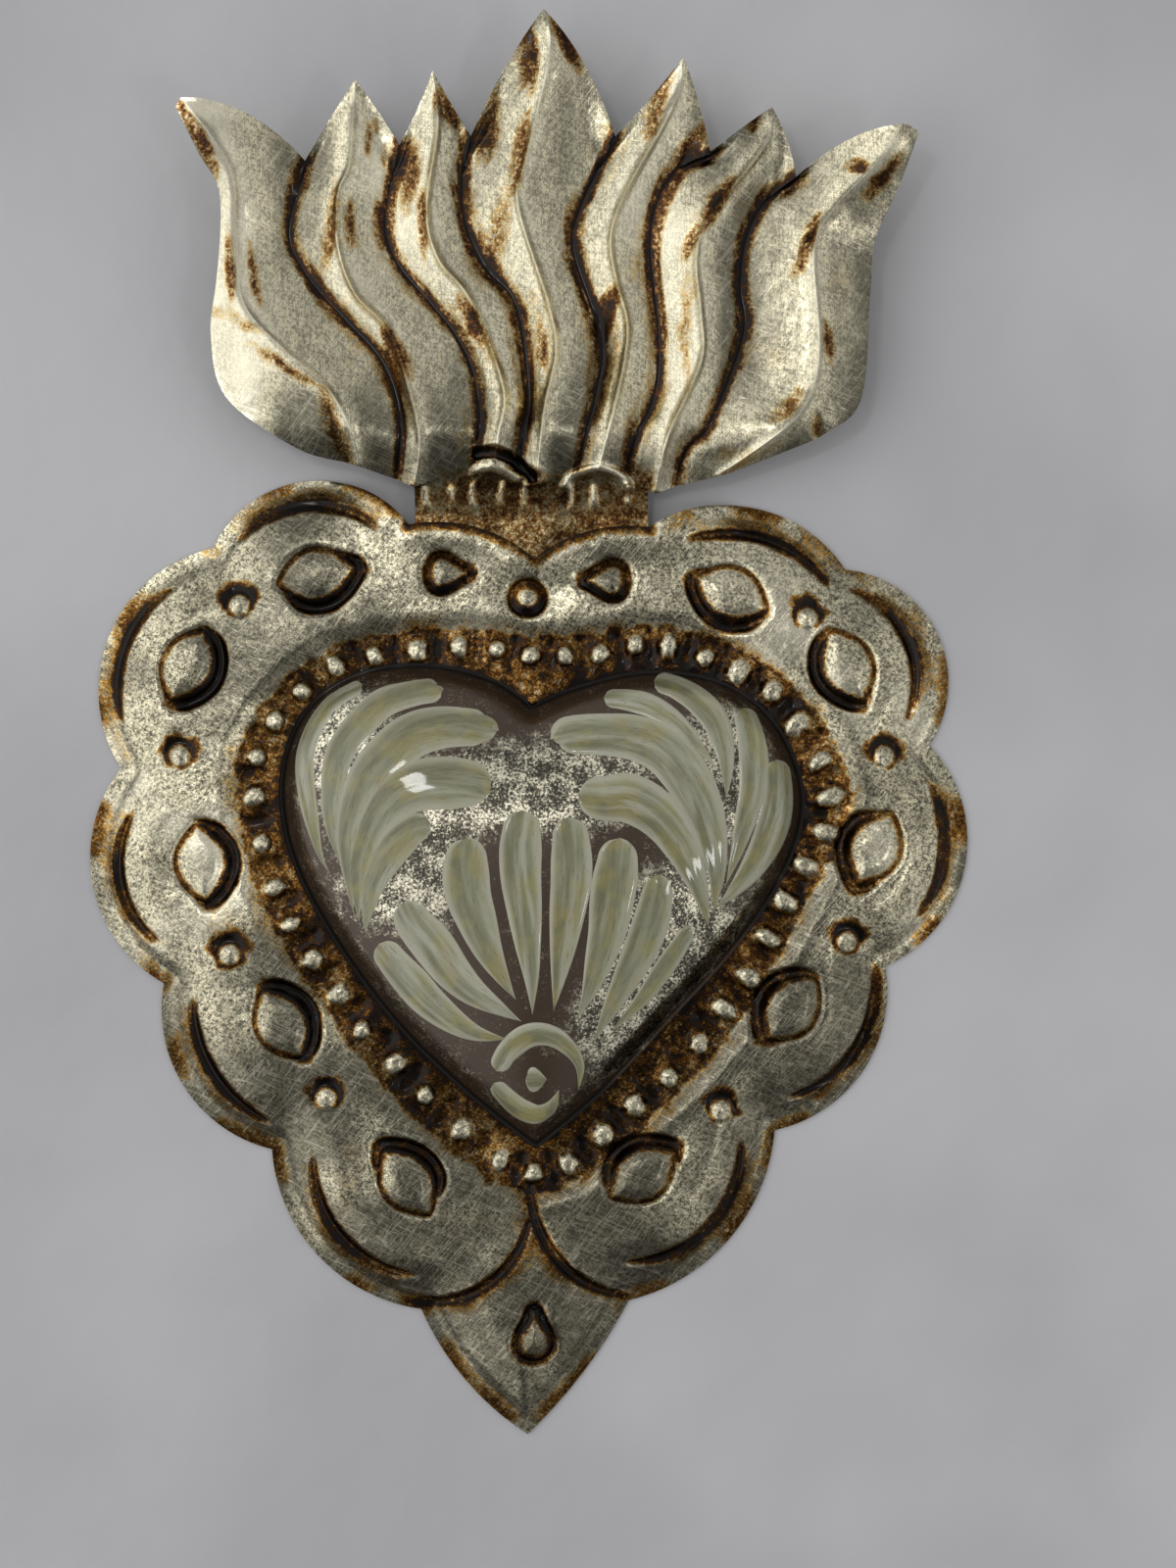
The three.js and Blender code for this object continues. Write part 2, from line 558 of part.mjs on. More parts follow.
// The neck's rows of points, downwards: the tops and feet of its ribs, the line where it goes behind the
// plate, and its lower edge
function neckRows() {
  const middle = plan(neckMiddle).x;
  const ribs = neckRibShares.map((share) => middle + share * neckWidth);
  const ribFeet = ribs.flatMap((x) => [x - neckRibWidth / 2, x + neckRibWidth / 2]);
  const places = [...ribs, ...ribFeet, ...neckEnds.map((p) => p.x)].sort((a, b) => a - b);
  const ribRow = (v) => places.map((x) => {
    const p = new THREE.Vector2(x, v * up);
    return new THREE.Vector3(p.x, p.y, flameBase(p) + (ribs.includes(x) ? neckRibRise : 0));
  });
  const flatRow = (below) => places.map((x) => new THREE.Vector3(x, plateTopAt(x) - below, tongueHeight));
  return [...neckRibRows.map(ribRow), flatRow(-seamGap), flatRow(lapDepth)];
}

function flameCrown() {
  const columns = (creases.length - 1) * cellsPerStrip + 1;
  const points = [];
  for (let row = 0; row <= flameRows; row++) {
    for (let column = 0; column < columns; column++) points.push(flamePoint(column, row));
  }
  const triangles = gridTriangles(flameRows + 1, columns);

  const bottomRow = flameRows * columns;
  const [first, last] = neckCreases.map((crease) => bottomRow + crease * cellsPerStrip);
  let upper = Array.from({ length: last - first + 1 }, (_, i) => first + i);
  for (const row of neckRows()) {
    const lower = row.map((_, i) => points.length + i);
    points.push(...row);
    triangles.push(...stitchRows(points, upper, lower));
    upper = lower;
  }
  return sheetGeometry(points, triangles);
}

// Hanger and solder

const hangerTop = flameHeight - creaseDepth - seamGap;
const hangerArchDepth = hangerTop - hangerWallGap;

function hangerStrap() {
  const half = hangerArchWidth / 2;
  const [outerHalf, outerDepth] = [half + hangerThickness, hangerArchDepth];
  const end = half + hangerFootLength;
  const meeting = Math.asin(hangerThickness / outerDepth);
  const profile = new THREE.Shape();
  profile.moveTo(-end, 0);
  profile.lineTo(-half, 0);
  profile.absellipse(0, 0, half, outerDepth - hangerThickness, Math.PI, 2 * Math.PI, false);
  profile.lineTo(end, 0);
  profile.lineTo(end, -hangerThickness);
  profile.lineTo(outerHalf * Math.cos(meeting), -hangerThickness);
  profile.absellipse(0, 0, outerHalf, outerDepth, 2 * Math.PI - meeting, Math.PI + meeting, true);
  profile.lineTo(-end, -hangerThickness);
  return new THREE.ExtrudeGeometry(profile, { depth: hangerWidth, bevelEnabled: false, curveSegments: 10 })
    .translate(0, 0, -hangerWidth / 2)
    .rotateX(Math.PI / 2);
}

// A tack of solder with a flat top, which hangs below the origin
function solderTack() {
  const profile = [
    new THREE.Vector2(0, -solderHeight),
    new THREE.Vector2(0.55 * solderRadius, -0.85 * solderHeight),
    new THREE.Vector2(0.9 * solderRadius, -0.45 * solderHeight),
    new THREE.Vector2(solderRadius, 0),
    new THREE.Vector2(0, 0),
  ];
  return new THREE.LatheGeometry(profile, 10).rotateX(Math.PI / 2);
}

// Assembly

const ornament = new THREE.Group();

function addPiece(name, geometry, finish, position = [0, 0, 0]) {
  const mesh = new THREE.Mesh(geometry, new THREE.MeshStandardMaterial(finish));
  mesh.name = name;
  mesh.position.set(...position);
  ornament.add(mesh);
}

addPiece("heart_plate", heartPlate(), tin);
addPiece("flame_crown", flameCrown(), tin);
addPiece("heart_dome", domedHeart(), paintedTin);

const hangerPlace = plan([hangerX, hangerY]);
addPiece("hanger_strap", hangerStrap(), tin, [hangerPlace.x, hangerPlace.y, hangerTop]);
const hangerTackReach = hangerArchWidth / 2 + hangerFootLength + seamGap + solderRadius;
for (const [name, side] of [["left", -1], ["right", 1]]) {
  const hangerTack = [hangerPlace.x + side * hangerTackReach, hangerPlace.y, hangerTop];
  addPiece(`hanger_solder_${name}`, solderTack(), solderMetal, hangerTack);
  const x = plan(neckMiddle).x + side * crownSolderShare * neckWidth;
  const crownTack = [x, plateTopAt(x) - lapDepth, tongueHeight - seamGap];
  addPiece(`crown_solder_${name}`, solderTack(), solderMetal, crownTack);
}

const flangeTop = flangeHeight + sheetThickness;
const domeTackLine = offsetLine(domeEdge, -(flangeWidth + seamGap + solderRadius));
for (let i = 0; i < domeTackCount; i++) {
  const { x, y } = domeTackLine[Math.floor(((i + 0.6) * domeRays) / domeTackCount)];
  addPiece(`dome_solder_${i + 1}`, solderTack(), solderMetal, [x, y, flangeTop]);
}

// The origin is at the middle of the ornament's plan, on the wall side
const size = new THREE.Box3().setFromObject(ornament);
ornament.position.set(-(size.min.x + size.max.x) / 2, -(size.min.y + size.max.y) / 2, -size.min.z);

export default ornament;
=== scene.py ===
# A sacred heart for a wall in chased and lacquered sheet tin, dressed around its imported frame: the sheets
# in full relief, the lacquer and patina of the metal, and the brush strokes on the domed heart.
import math
from functools import reduce

import bpy
import numpy as np
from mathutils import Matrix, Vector
from mathutils.geometry import delaunay_2d_cdt


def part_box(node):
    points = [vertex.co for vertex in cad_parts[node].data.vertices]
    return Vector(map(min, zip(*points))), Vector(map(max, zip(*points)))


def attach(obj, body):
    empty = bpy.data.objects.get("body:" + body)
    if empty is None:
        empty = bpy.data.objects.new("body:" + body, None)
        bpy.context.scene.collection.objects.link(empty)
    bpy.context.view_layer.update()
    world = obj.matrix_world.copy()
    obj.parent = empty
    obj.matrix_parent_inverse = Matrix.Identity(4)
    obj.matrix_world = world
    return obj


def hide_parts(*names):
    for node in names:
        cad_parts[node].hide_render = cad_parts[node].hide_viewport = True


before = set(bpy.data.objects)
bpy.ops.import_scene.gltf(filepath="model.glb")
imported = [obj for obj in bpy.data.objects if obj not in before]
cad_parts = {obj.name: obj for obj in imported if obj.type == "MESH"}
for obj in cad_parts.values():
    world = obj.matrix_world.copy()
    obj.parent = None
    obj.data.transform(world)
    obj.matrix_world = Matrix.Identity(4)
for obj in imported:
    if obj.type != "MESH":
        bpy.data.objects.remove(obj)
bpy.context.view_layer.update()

# Sizes, in millimetres
MM = 0.001
sheet_thickness = 0.4
seam_gap = 0.3

rim_flat = 1.3
rim_step_width = 1.6
rim_step_height = 1.0
field_height = 3.0
field_slope_width = 6.0
neck_level_reach = 4.0
neck_blend_reach = 8.0
groove_width = 1.8
groove_depth = 0.6
medallion_length = 8.4
medallion_width = 5.4
stamp_ring = [0.85, 2.2]  # width of the groove round a medallion, on its outer and on its inner side
stamp_depth = [0.35, 0.85]
stamp_rise = 0.5
drop_ring = [1.5, 1.5]
drop_depth = [0.6, 0.6]
stud_radius = 1.3
stud_rise = 0.7
stud_recess_radius = 2.0
stud_recess_depth = 0.3
stud_recess_shift = [0, 0.6]  # each recess lies a little above its stud
band_reach = 1.9
band_step_width = 2.4
band_drop = 0.7
cell_depth = 0.4
cell_size = [2.5, 1.25]  # half length across the band, and half width along it
bead_radius = 1.15
bead_rise = 0.9
plate_dent_depth = 0.24

dome_height = 8.0
dome_wall_height = 2.6
dome_wall_width = 2.4
dome_crown_reach = 21.0
flange_width = 3.0

flame_height = 7.0
flame_rise_start = 39.5
flame_rise_length = 11.0
ridge_height = 1.2
crease_depth = 1.0
hem_depth = 0.5
outer_tip_curl = 4.3
middle_tip_curl = 1.8
tip_fade = 0.12  # the share of a flame's length over which its relief grows from the tip
neck_fade = 0.2  # and over which it sinks to the neck's share of it
neck_relief = 0.4
lap_depth = 2.0
neck_width = 26.8
furrow_depth = 0.45  # how much of a valley's depth is the dark furrow along it
furrow_reach = 1.5
ridge_line_rise = 0.32
ridge_line_reach = 0.48
mark_depth = 0.3
crown_dent_depth = 0.12

flange_height = field_height - band_drop - cell_depth - seam_gap - sheet_thickness
tongue_height = field_height - seam_gap - sheet_thickness

# Plan of the ornament, in millimetres from its pattern's origin. Scallops of the heart's edge,
# anticlockwise from the left of the neck: where each one starts and a point half way along it.
scallops = [
    [[-13.9, 38.9], [-24.5, 44.2]], [[-36.7, 36.4], [-47.8, 28.2]], [[-47.4, 10.9], [-50.9, -0.6]],
    [[-42.4, -14], [-40.3, -25.6]], [[-29.9, -33.2], [-25.6, -44.3]], [[-12.6, -51.7], [-7.4, -60]],
    [[-0.3, -66.2], [6.2, -58.9]], [[11.4, -50.7], [22.4, -44.3]], [[28.3, -31], [38.1, -24.7]],
    [[41.1, -12], [50.2, -1.1]], [[46.2, 13.6], [46.8, 27.2]], [[36.5, 33.9], [25.5, 41.1]],
    [[13.7, 38.6], [7.3, 38.3]], [[0.5, 35], [-5.8, 38.5]],
]
neck_middle = [0.2, 38.6]

# Chased grooves behind the scallops, and the two that cross above the point: start, middle and end
rim_grooves = [
    [[-33.6, 37.2], [-24.5, 41.2], [-17.7, 38.6]], [[-41.2, 31.7], [-47, 24.4], [-47.2, 16.5]],
    [[-45.9, 5.5], [-47.4, -1.1], [-43, -9.1]], [[-38.8, -15.9], [-37, -23.3], [-30.2, -29.9]],
    [[-24.9, -34.1], [-21.7, -43.2], [-13.7, -47.4]], [[24.3, -32.4], [21.2, -41.5], [11.2, -46]],
    [[40, -11.9], [37.6, -21.6], [30, -27]], [[46.2, 9.1], [47.8, 2.3], [44.8, -6.2]],
    [[37.2, 31.5], [43.8, 25], [43.4, 16.5]], [[18.4, 37.2], [25.5, 37.7], [34.5, 32]],
    [[-0.1, -40.9], [-4.5, -48.2], [-14.5, -50.6]], [[0, -36.9], [2.7, -44.9], [11.2, -50.2]],
]

# Stamped medallions: place, turn in degrees and how dark the groove is
medallions = [
    [-24.5, 33.1, 12, 1.0], [-39.3, 22.7, 64, 1.0], [-37.7, 0, 96, 1.0], [-28.5, -18.5, 120, 1.0],
    [-14.1, -36.7, 125, 0.9], [23.2, 31, -25, 0.85], [36.5, 22.7, -65, 0.9], [39.7, 1.7, 66, 0.7],
    [30.1, -16.8, 52, 0.65], [13, -35.8, 35, 0.65],
]
studs = [
    [-33.4, 29.7], [-40.2, 12.3], [-34.5, -10.5], [-23.4, -27],
    [31.9, 28.2], [40.8, 12.3], [36.5, -9.1], [22, -28.4],
]

# Drops: place, turn, and the length and width of the raised part
drops = [
    [-9.2, 33.3, 0, 4.0, 3.0], [8.6, 32.5, 180, 4.0, 3.0], [-0.3, 30.5, 90, 2.4, 2.4],
    [0.5, -54.2, 90, 5.0, 3.0],
]

# The domed heart's edge, each side from the cleft down to the point
dome_left = [
    [0.2, 18], [-4.1, 20.9], [-11.5, 22.7], [-19.4, 21.8], [-25.7, 17.6], [-28.5, 10.2],
    [-27.6, 1.7], [-23.4, -7.2], [-16, -17.6], [-7.5, -26.1], [0.7, -32.6],
]
dome_right = [
    [0.2, 18], [5.6, 20.2], [13.5, 21.9], [22, 20.7], [28.3, 15.9], [31.4, 7.7],
    [29.4, -0.6], [23.7, -9.4], [15.2, -18.8], [7.8, -26.7], [0.7, -32.6],
]
dome_middle = [1.2, 0]

# Every third bead of the ring round the dome
bead_line = [
    [-8.1, 24.8], [-22.3, 22.5], [-31.4, 12.3], [-29.1, -2.6], [-22, -15.1], [-11.8, -26.7], [0.5, -35.8],
    [12.2, -27.8], [22.4, -17], [29.4, -4.5], [34.5, 7.7], [27.7, 19.5], [16, 25], [4.1, 23.6],
]

# Creases of the crown from left to right, each from its top down to the neck. A cut edge comes first
# and last, and between them ridges that end in flame tips alternate with valleys.
creases = [
    [[-39.5, 85], [-37.2, 80.2], [-35, 75.8], [-35.5, 66.9], [-36.2, 60.2], [-34.4, 53],
     [-26.6, 47.4], [-20.9, 45.8]],
    [[-38.9, 86], [-33.6, 78.6], [-33, 71.3], [-32.2, 63.5], [-27.7, 58.3], [-22.7, 53.8],
     [-20.2, 49.1], [-19.3, 45.3]],
    [[-25.4, 79.8], [-27.3, 72.2], [-25.5, 67.4], [-21.1, 62.2], [-17.2, 58], [-15.3, 54.1],
     [-14.6, 49.7], [-15.3, 44]],
    [[-19.7, 88.9], [-20.2, 79.7], [-21.6, 75.8], [-21.6, 70.2], [-19.7, 64.7], [-15.5, 59.7],
     [-12.5, 49.1], [-13.2, 43.1]],
    [[-14.7, 81.6], [-16.4, 73.5], [-15, 68.5], [-11.4, 64.1], [-8.3, 60.2], [-6.3, 55.8],
     [-5.6, 50.2], [-6.4, 45.8]],
    [[-10.9, 89.9], [-10.3, 83.6], [-11.5, 74.1], [-10.2, 68.5], [-6.6, 63.8], [-2.9, 54.1],
     [-3.5, 48.5], [-3.9, 45.7]],
    [[-6.6, 82.6], [-7.6, 78], [-7.2, 73], [-5, 68], [-1.4, 63.5], [0, 53.5], [-0.6, 49.1], [-1.4, 44.8]],
    [[1.7, 96.6], [2.4, 91.3], [-0.3, 80.2], [-1.2, 74.7], [2.3, 63.3], [3.1, 58], [1.8, 51.9],
     [0.9, 43.5]],
    [[9.8, 82.6], [7.6, 78.6], [5.6, 74.1], [5.1, 69.7], [8.3, 59.7], [7.8, 54.1], [6.5, 49.1],
     [5.4, 44.7]],
    [[17.5, 91.3], [16.5, 86.3], [10.9, 75.8], [9.3, 70.8], [10, 65.8], [11.2, 59.7], [8.9, 48.5],
     [8, 45.3]],
    [[20.6, 80.7], [16.7, 78.9], [14.5, 75.2], [13.8, 70.2], [14.8, 59.1], [14.2, 53], [12.3, 49.1],
     [10.9, 44.7]],
    [[27.6, 85.9], [26.6, 81.3], [20.3, 73], [19, 68.5], [19.5, 62.4], [19.5, 56.9], [15.8, 48.5],
     [14.5, 42.4]],
    [[30.3, 77.9], [26.7, 75.2], [24.7, 71.3], [24, 65.8], [24.3, 60.2], [20.6, 50.2], [17.8, 47.1],
     [16.9, 43.3]],
    [[42, 83.1], [39.3, 78.9], [34.5, 74.1], [32.3, 69.7], [32.9, 59.1], [32, 53.5], [28.9, 49.3],
     [21.4, 44.2]],
    [[43.8, 82.1], [41.7, 76.3], [39.3, 70.8], [38.8, 64.7], [37.8, 53], [33.9, 49.1], [28.4, 46.7],
     [22.5, 44.5]],
]
# Middles of the curved cut edges between one crease's top and the next one's
flame_edges = [
    [-39.2, 85.6], [-31.6, 84.6], [-22.7, 84.4], [-17.1, 85.4], [-12.4, 86.3], [-8.9, 86.4], [-3, 89.7],
    [6.4, 90.4], [13.6, 86.7], [19.3, 86.3], [24.2, 83.6], [29.3, 82.2], [35.8, 81.6], [43, 82.8],
]
neck_creases = [3, 11]  # the creases that run down to the neck's left and right side
crown_middle = 2
outer_curl_start = [26, 68]  # across from the crown's middle, and up the pattern
outer_curl_reach = [14, 16]
middle_curl_start = 84
middle_curl_reach = 12

# The neck, with ribs, arches and a slot pressed into it
neck_top = 43.0
neck_steps = [8, 14, 6]  # rows of points down to its top, to the plate's edge and behind the plate
neck_slope_reach = 1.3
neck_rib_shares = [-0.46, -0.35, -0.245, -0.125, -0.025, 0.165, 0.27, 0.405]
neck_rib_span = [40.6, 43.9]
neck_rib_width = 1.0
neck_rib_rise = 0.5
neck_arches = [
    [[4.1, 43.4], [5.1, 44.5], [7.3, 45.1], [9.1, 44.9], [10.7, 44.1], [11.4, 43]],
    [[-6, 45.1], [-4.3, 45.2], [-2.6, 44.6], [-1.5, 44]],
]
neck_arch_width = 1.5
neck_arch_rise = 0.6
neck_slot = [[-5.9, 46.7], [-4.3, 46.9], [-2.4, 46.2], [-0.6, 45.2], [0.4, 44.1]]
neck_slot_depth = 0.5
neck_slot_lip = 0.25

# Marks pressed beside the ridges: place, turn in degrees, length, width and how dark they are
ridge_marks = [
    [-36.8, 81.4, 121, 5.9, 1.8, 0.6], [-33.9, 67.4, 90, 7.1, 1.3, 0.8], [-31, 66.5, 100, 5.4, 0.9, 0.8],
    [-28.2, 56.7, 148, 5.9, 1.2, 0.7], [-22, 49.4, 110, 6, 2.1, 0.6], [-33.3, 61.7, 151, 5.1, 1.8, 0.5],
    [-22.8, 72.4, 84, 7.2, 1.8, 0.65], [-18.1, 82.6, 82, 2.8, 0.9, 0.6], [-20.5, 73.1, 90, 4, 1.3, 0.6],
    [-15.3, 58.1, 113, 4.4, 1.8, 0.8], [-9.2, 85.7, 114, 3.6, 2.1, 0.8], [-12.1, 72.1, 93, 5.4, 1.2, 0.65],
    [-5.7, 60.1, 119, 5.8, 1.6, 0.9], [-4.3, 84, 85, 5.4, 2.7, 0.8], [-1.1, 80.5, 75, 6.1, 1.8, 0.8],
    [-3.4, 72.1, 85, 7.8, 2.7, 0.45], [1.2, 60.8, 98, 6, 1.8, 0.8], [-13.9, 77.5, 86, 5.4, 2.1, 0.7],
    [4.2, 93.2, 114, 5, 2.1, 0.9], [14.8, 86.3, 71, 5.5, 2.4, 0.8], [18.4, 81.6, 53, 3.5, 2.1, 0.8],
    [25.6, 84.2, 63, 1.6, 1.6, 0.8], [19.8, 73.1, 59, 6.8, 2.1, 0.85], [18.1, 63.2, 90, 12.5, 1.4, 0.45],
    [37.2, 78.6, 20, 1.5, 1.7, 0.8], [31.5, 70.3, 72, 4.7, 1.2, 0.85], [29.2, 51.8, 46, 4.1, 1.7, 0.6],
    [33.9, 59.2, 90, 3.1, 1.2, 0.8], [32.7, 49.8, 111, 1.9, 1.6, 0.7], [22.6, 46.5, 0, 3.5, 2.1, 0.6],
    [40, 77.4, 44, 3.9, 1.7, 0.5], [8.8, 62.2, 78, 4.3, 2.1, 0.8], [0.2, 92, 93, 5.6, 2.1, 0.9],
]

# Brush strokes on the dome, bottom ones first: the path from the loaded end to the tail, the greatest
# width, how far along it comes, how white the paint is and how ragged the loaded end
strokes = {
    "left_1": ([[-19.2, 20.5], [-23, 18.1], [-25.3, 13.9], [-25.6, 9.6], [-24.1, 1.8], [-22.8, -1]],
               2.2, 0.5, 0.9, 0),
    "left_2": ([[-9.6, 19.9], [-13, 19.5], [-16.6, 18.3], [-19.4, 15.7], [-21.6, 12.4], [-22.5, 8],
                [-22.5, 4], [-21.5, 0]], 3.4, 0.4, 0.35, 1.2),
    "left_3": ([[-3.3, 15.1], [-6.7, 15.5], [-10, 15.5], [-13, 14.7], [-15.6, 12.8], [-17.9, 10.2],
                [-19.6, 6.6], [-20.5, 2.4], [-20.1, -5.5]], 5.0, 0.35, 0.3, 2.2),
    "left_4": ([[-4.3, 8.6], [-6.7, 9.1], [-9, 9.2], [-11.4, 9.1], [-14, 8.4], [-16.4, 6.4],
                [-18.4, 2.8], [-19.5, -1.2], [-19.4, -6.5]], 5.7, 0.2, 0.25, 0),
    "left_5": ([[-11.1, 4.6], [-13, 4], [-14.8, 2.4], [-16.6, 0], [-18, -3.2], [-18.7, -7.9]],
               3.7, 0.3, 0.3, 0),
    "fan_1": ([[-17.1, -9.1], [-15.2, -11.5], [-13.4, -13.5], [-11.4, -15.7], [-8.6, -17.9],
               [-5.9, -19.3], [-2.5, -19.9]], 3.9, 0.35, 0.6, 0),
    "fan_2": ([[-14.2, -4.3], [-13, -6.7], [-11, -9.1], [-8.6, -12.3], [-6.3, -14.5], [-3.5, -16.3],
               [-0.9, -17.8]], 4.6, 0.3, 0.8, 0),
    "fan_3": ([[-6.9, 3.2], [-7.1, 0], [-6.9, -3.2], [-5.9, -6.3], [-4.7, -9.5], [-3.3, -12.3],
               [-1.5, -15.3]], 5.0, 0.25, 0.3, 0.6),
    "fan_4": ([[-0.6, 6.1], [-0.9, 2.4], [-0.9, -1.2], [-0.5, -5.1], [-0.1, -9.1], [0.3, -13.1],
               [0.4, -17]], 4.5, 0.2, 0.8, 0),
    "fan_5": ([[4.5, 5.3], [4.8, 2], [4.8, -1.6], [4.4, -5.1], [3.9, -9.1], [3.4, -12.7], [2.8, -16.6]],
              4.4, 0.25, 0.5, 0),
    "fan_6": ([[10.2, 3.1], [10, 0], [9.4, -4], [8.9, -7.5], [7.9, -11.1], [6.9, -14.3], [5.5, -17.6]],
              4.8, 0.25, 0.4, 0.4),
    "fan_7": ([[14.8, -1], [14.5, -3.6], [13.8, -6.7], [12.4, -10.3], [10.6, -13.9], [8.9, -17.1],
               [7.4, -20.3]], 3.9, 0.3, 0.2, 0.8),
    "fan_8": ([[18.5, -7.1], [17, -9.5], [14.8, -12.7], [12.6, -15.7], [9.4, -19.1]], 2.2, 0.35, 0.1, 0.8),
    "right_3": ([[2.3, 14.1], [5.3, 14.7], [8.9, 14.7], [12.2, 14.3], [15.4, 12.8], [17.7, 10.2],
                 [19.5, 7], [20.7, 3.2], [21.3, -0.8], [21.1, -5.5]], 5.1, 0.45, 0.75, 1.5),
    "right_1": ([[8.5, 18.9], [11.2, 18.7], [14, 17.9], [16.8, 16.1], [19.2, 13.5], [21.3, 10.8]],
                2.5, 0.3, 1.0, 0),
    "right_2": ([[14.3, 21], [16.8, 20.2], [19.4, 18.5], [21.3, 16.1], [22.2, 13.1], [22.5, 10.4],
                 [22.4, 7.5]], 3.0, 0.4, 0.6, 0),
    "right_5": ([[24.4, 17.8], [25.2, 15.1], [25.6, 12], [25.5, 8.8], [24.8, 5.6], [23.8, 2],
                 [22.4, -2.4]], 3.2, 0.3, 0.7, 0),
    "right_6": ([[28.3, 11.9], [28.5, 8.4], [28.1, 5.2], [26.9, 2], [25.2, -0.8], [23.2, -3.2],
                 [21.2, -5.1]], 3.6, 0.4, 0.8, 0),
    "right_4": ([[5.6, 8], [8.5, 7.5], [11.2, 7.5], [13.6, 6.4], [15.6, 4.6], [17.3, 2], [18.6, -0.8],
                 [19.7, -4], [20.4, -7.1]], 5.2, 0.25, 0.75, 0),
    "rosette_low": ([[-4, -25], [-2.9, -26.4], [-1.1, -28], [0.9, -28.6], [2.5, -27.7], [3.4, -25.8]],
                    2.4, 0.45, 0.45, 0),
    "rosette_top": ([[-3.7, -23.6], [-2.4, -21.3], [-0.1, -19.5], [2.5, -19.5], [4.7, -21.1],
                     [5.8, -23.2], [5.6, -25.9]], 2.6, 0.3, 0.9, 0),
    "rosette_dot": ([[-0.5, -24.6], [2, -24.5]], 2.7, 0.4, 0.7, 0.3),
}
stroke_thickness = 0.06
stroke_step = 0.006  # each stroke lies a little higher than the ones before it
stroke_root = 0.12  # how deep a stroke reaches into the dome's sheet

# Where the dome's glaze is worn to bare metal: middle, half width and half height
bare_patches = [
    [1, 8.5, 16, 6.5], [-14, -1, 9, 8], [17, -8, 9, 10], [11, -18, 7, 8], [22, 11, 6, 9], [-20, 12, 7, 10],
]
rng = np.random.default_rng(7)


# Plan geometry. Points are arrays of rows, one point to a row.

def smoothly(x):
    x = np.clip(x, 0, 1)
    return x * x * (3 - 2 * x)


def mix(a, b, share):
    return a + (b - a) * share


def bump(distance, radius):
    return np.maximum(0, 1 - (distance / radius) ** 2) ** 2


def knob(distance, radius):
    return np.maximum(0, 1 - (distance / radius) ** 2) ** 0.7


def length_of(vectors):
    return np.hypot(vectors[:, 0], vectors[:, 1])


def catmull_rom(points, steps, closed=False):
    """A smooth line through the points, with that many steps from each to the next."""
    points = np.array(points, float)
    if closed:
        control = np.vstack([points[-1:], points, points[:2]])
    else:
        control = np.vstack([points[:1], points, points[-1:]])
    t = np.linspace(0, 1, steps, endpoint=False)[:, None]
    spans = [
        0.5 * (2 * b + (c - a) * t + (2 * a - 5 * b + 4 * c - d) * t**2 + (3 * b - a - 3 * c + d) * t**3)
        for a, b, c, d in zip(control, control[1:], control[2:], control[3:])
    ]
    return np.vstack(spans if closed else [*spans, points[-1:]])


def evenly(line, count):
    """That many points at equal distances along a line."""
    travelled = np.concatenate([[0], np.cumsum(length_of(np.diff(line, axis=0)))])
    places = np.linspace(0, travelled[-1], count)
    return np.column_stack([np.interp(places, travelled, line[:, axis]) for axis in (0, 1)])


def closed_line(line):
    return np.vstack([line, line[:1]])


class Arc:
    """The arc that starts, passes and ends at three plan points."""

    def __init__(self, start, middle, end):
        start, middle, end = np.array([start, middle, end], float)
        (ax, ay), (bx, by), (cx, cy) = start, middle, end
        a, b, c = ax * ax + ay * ay, bx * bx + by * by, cx * cx + cy * cy
        turn = 2 * (ax * (by - cy) + bx * (cy - ay) + cx * (ay - by))
        self.centre = np.array([
            (a * (by - cy) + b * (cy - ay) + c * (ay - by)) / turn,
            (a * (cx - bx) + b * (ax - cx) + c * (bx - ax)) / turn,
        ])
        self.radius = math.hypot(*(start - self.centre))
        self.sign = 1 if turn > 0 else -1
        self.start = math.atan2(*(start - self.centre)[::-1])
        finish = math.atan2(*(end - self.centre)[::-1])
        self.sweep = (self.sign * (finish - self.start)) % (2 * math.pi)

    def points(self, spacing, outward=0.0):
        count = max(3, round(self.sweep * self.radius / spacing))
        angle = self.start + self.sign * self.sweep * np.linspace(0, 1, count)
        radius = self.radius + outward
        return self.centre + radius * np.column_stack([np.cos(angle), np.sin(angle)])

    def nearest(self, p):
        """How far each point is from the arc, how far along the arc that is, and how far outside it."""
        from_centre = p - self.centre
        reach = length_of(from_centre)
        angle = np.arctan2(from_centre[:, 1], from_centre[:, 0])
        travelled = (self.sign * (angle - self.start)) % (2 * math.pi)
        beyond = travelled > self.sweep
        late = travelled > math.pi + self.sweep / 2
        ends = self.points(self.radius * self.sweep)[[0, -1]]
        to_end = np.where(late, length_of(p - ends[0]), length_of(p - ends[1]))
        distance = np.where(beyond, to_end, np.abs(reach - self.radius))
        share = np.where(beyond, np.where(late, 0.0, 1.0), travelled / self.sweep)
        return distance, share, reach - self.radius


def distance_to_line(p, line):
    nearest = np.full(len(p), np.inf)
    for a, b in zip(line, line[1:]):
        along = b - a
        share = np.clip((p - a) @ along / (along @ along), 0, 1)
        nearest = np.minimum(nearest, length_of(p - a - share[:, None] * along))
    return nearest


def distance_to_points(p, places):
    nearest = np.full(len(p), np.inf)
    for place in places:
        nearest = np.minimum(nearest, length_of(p - place))
    return nearest


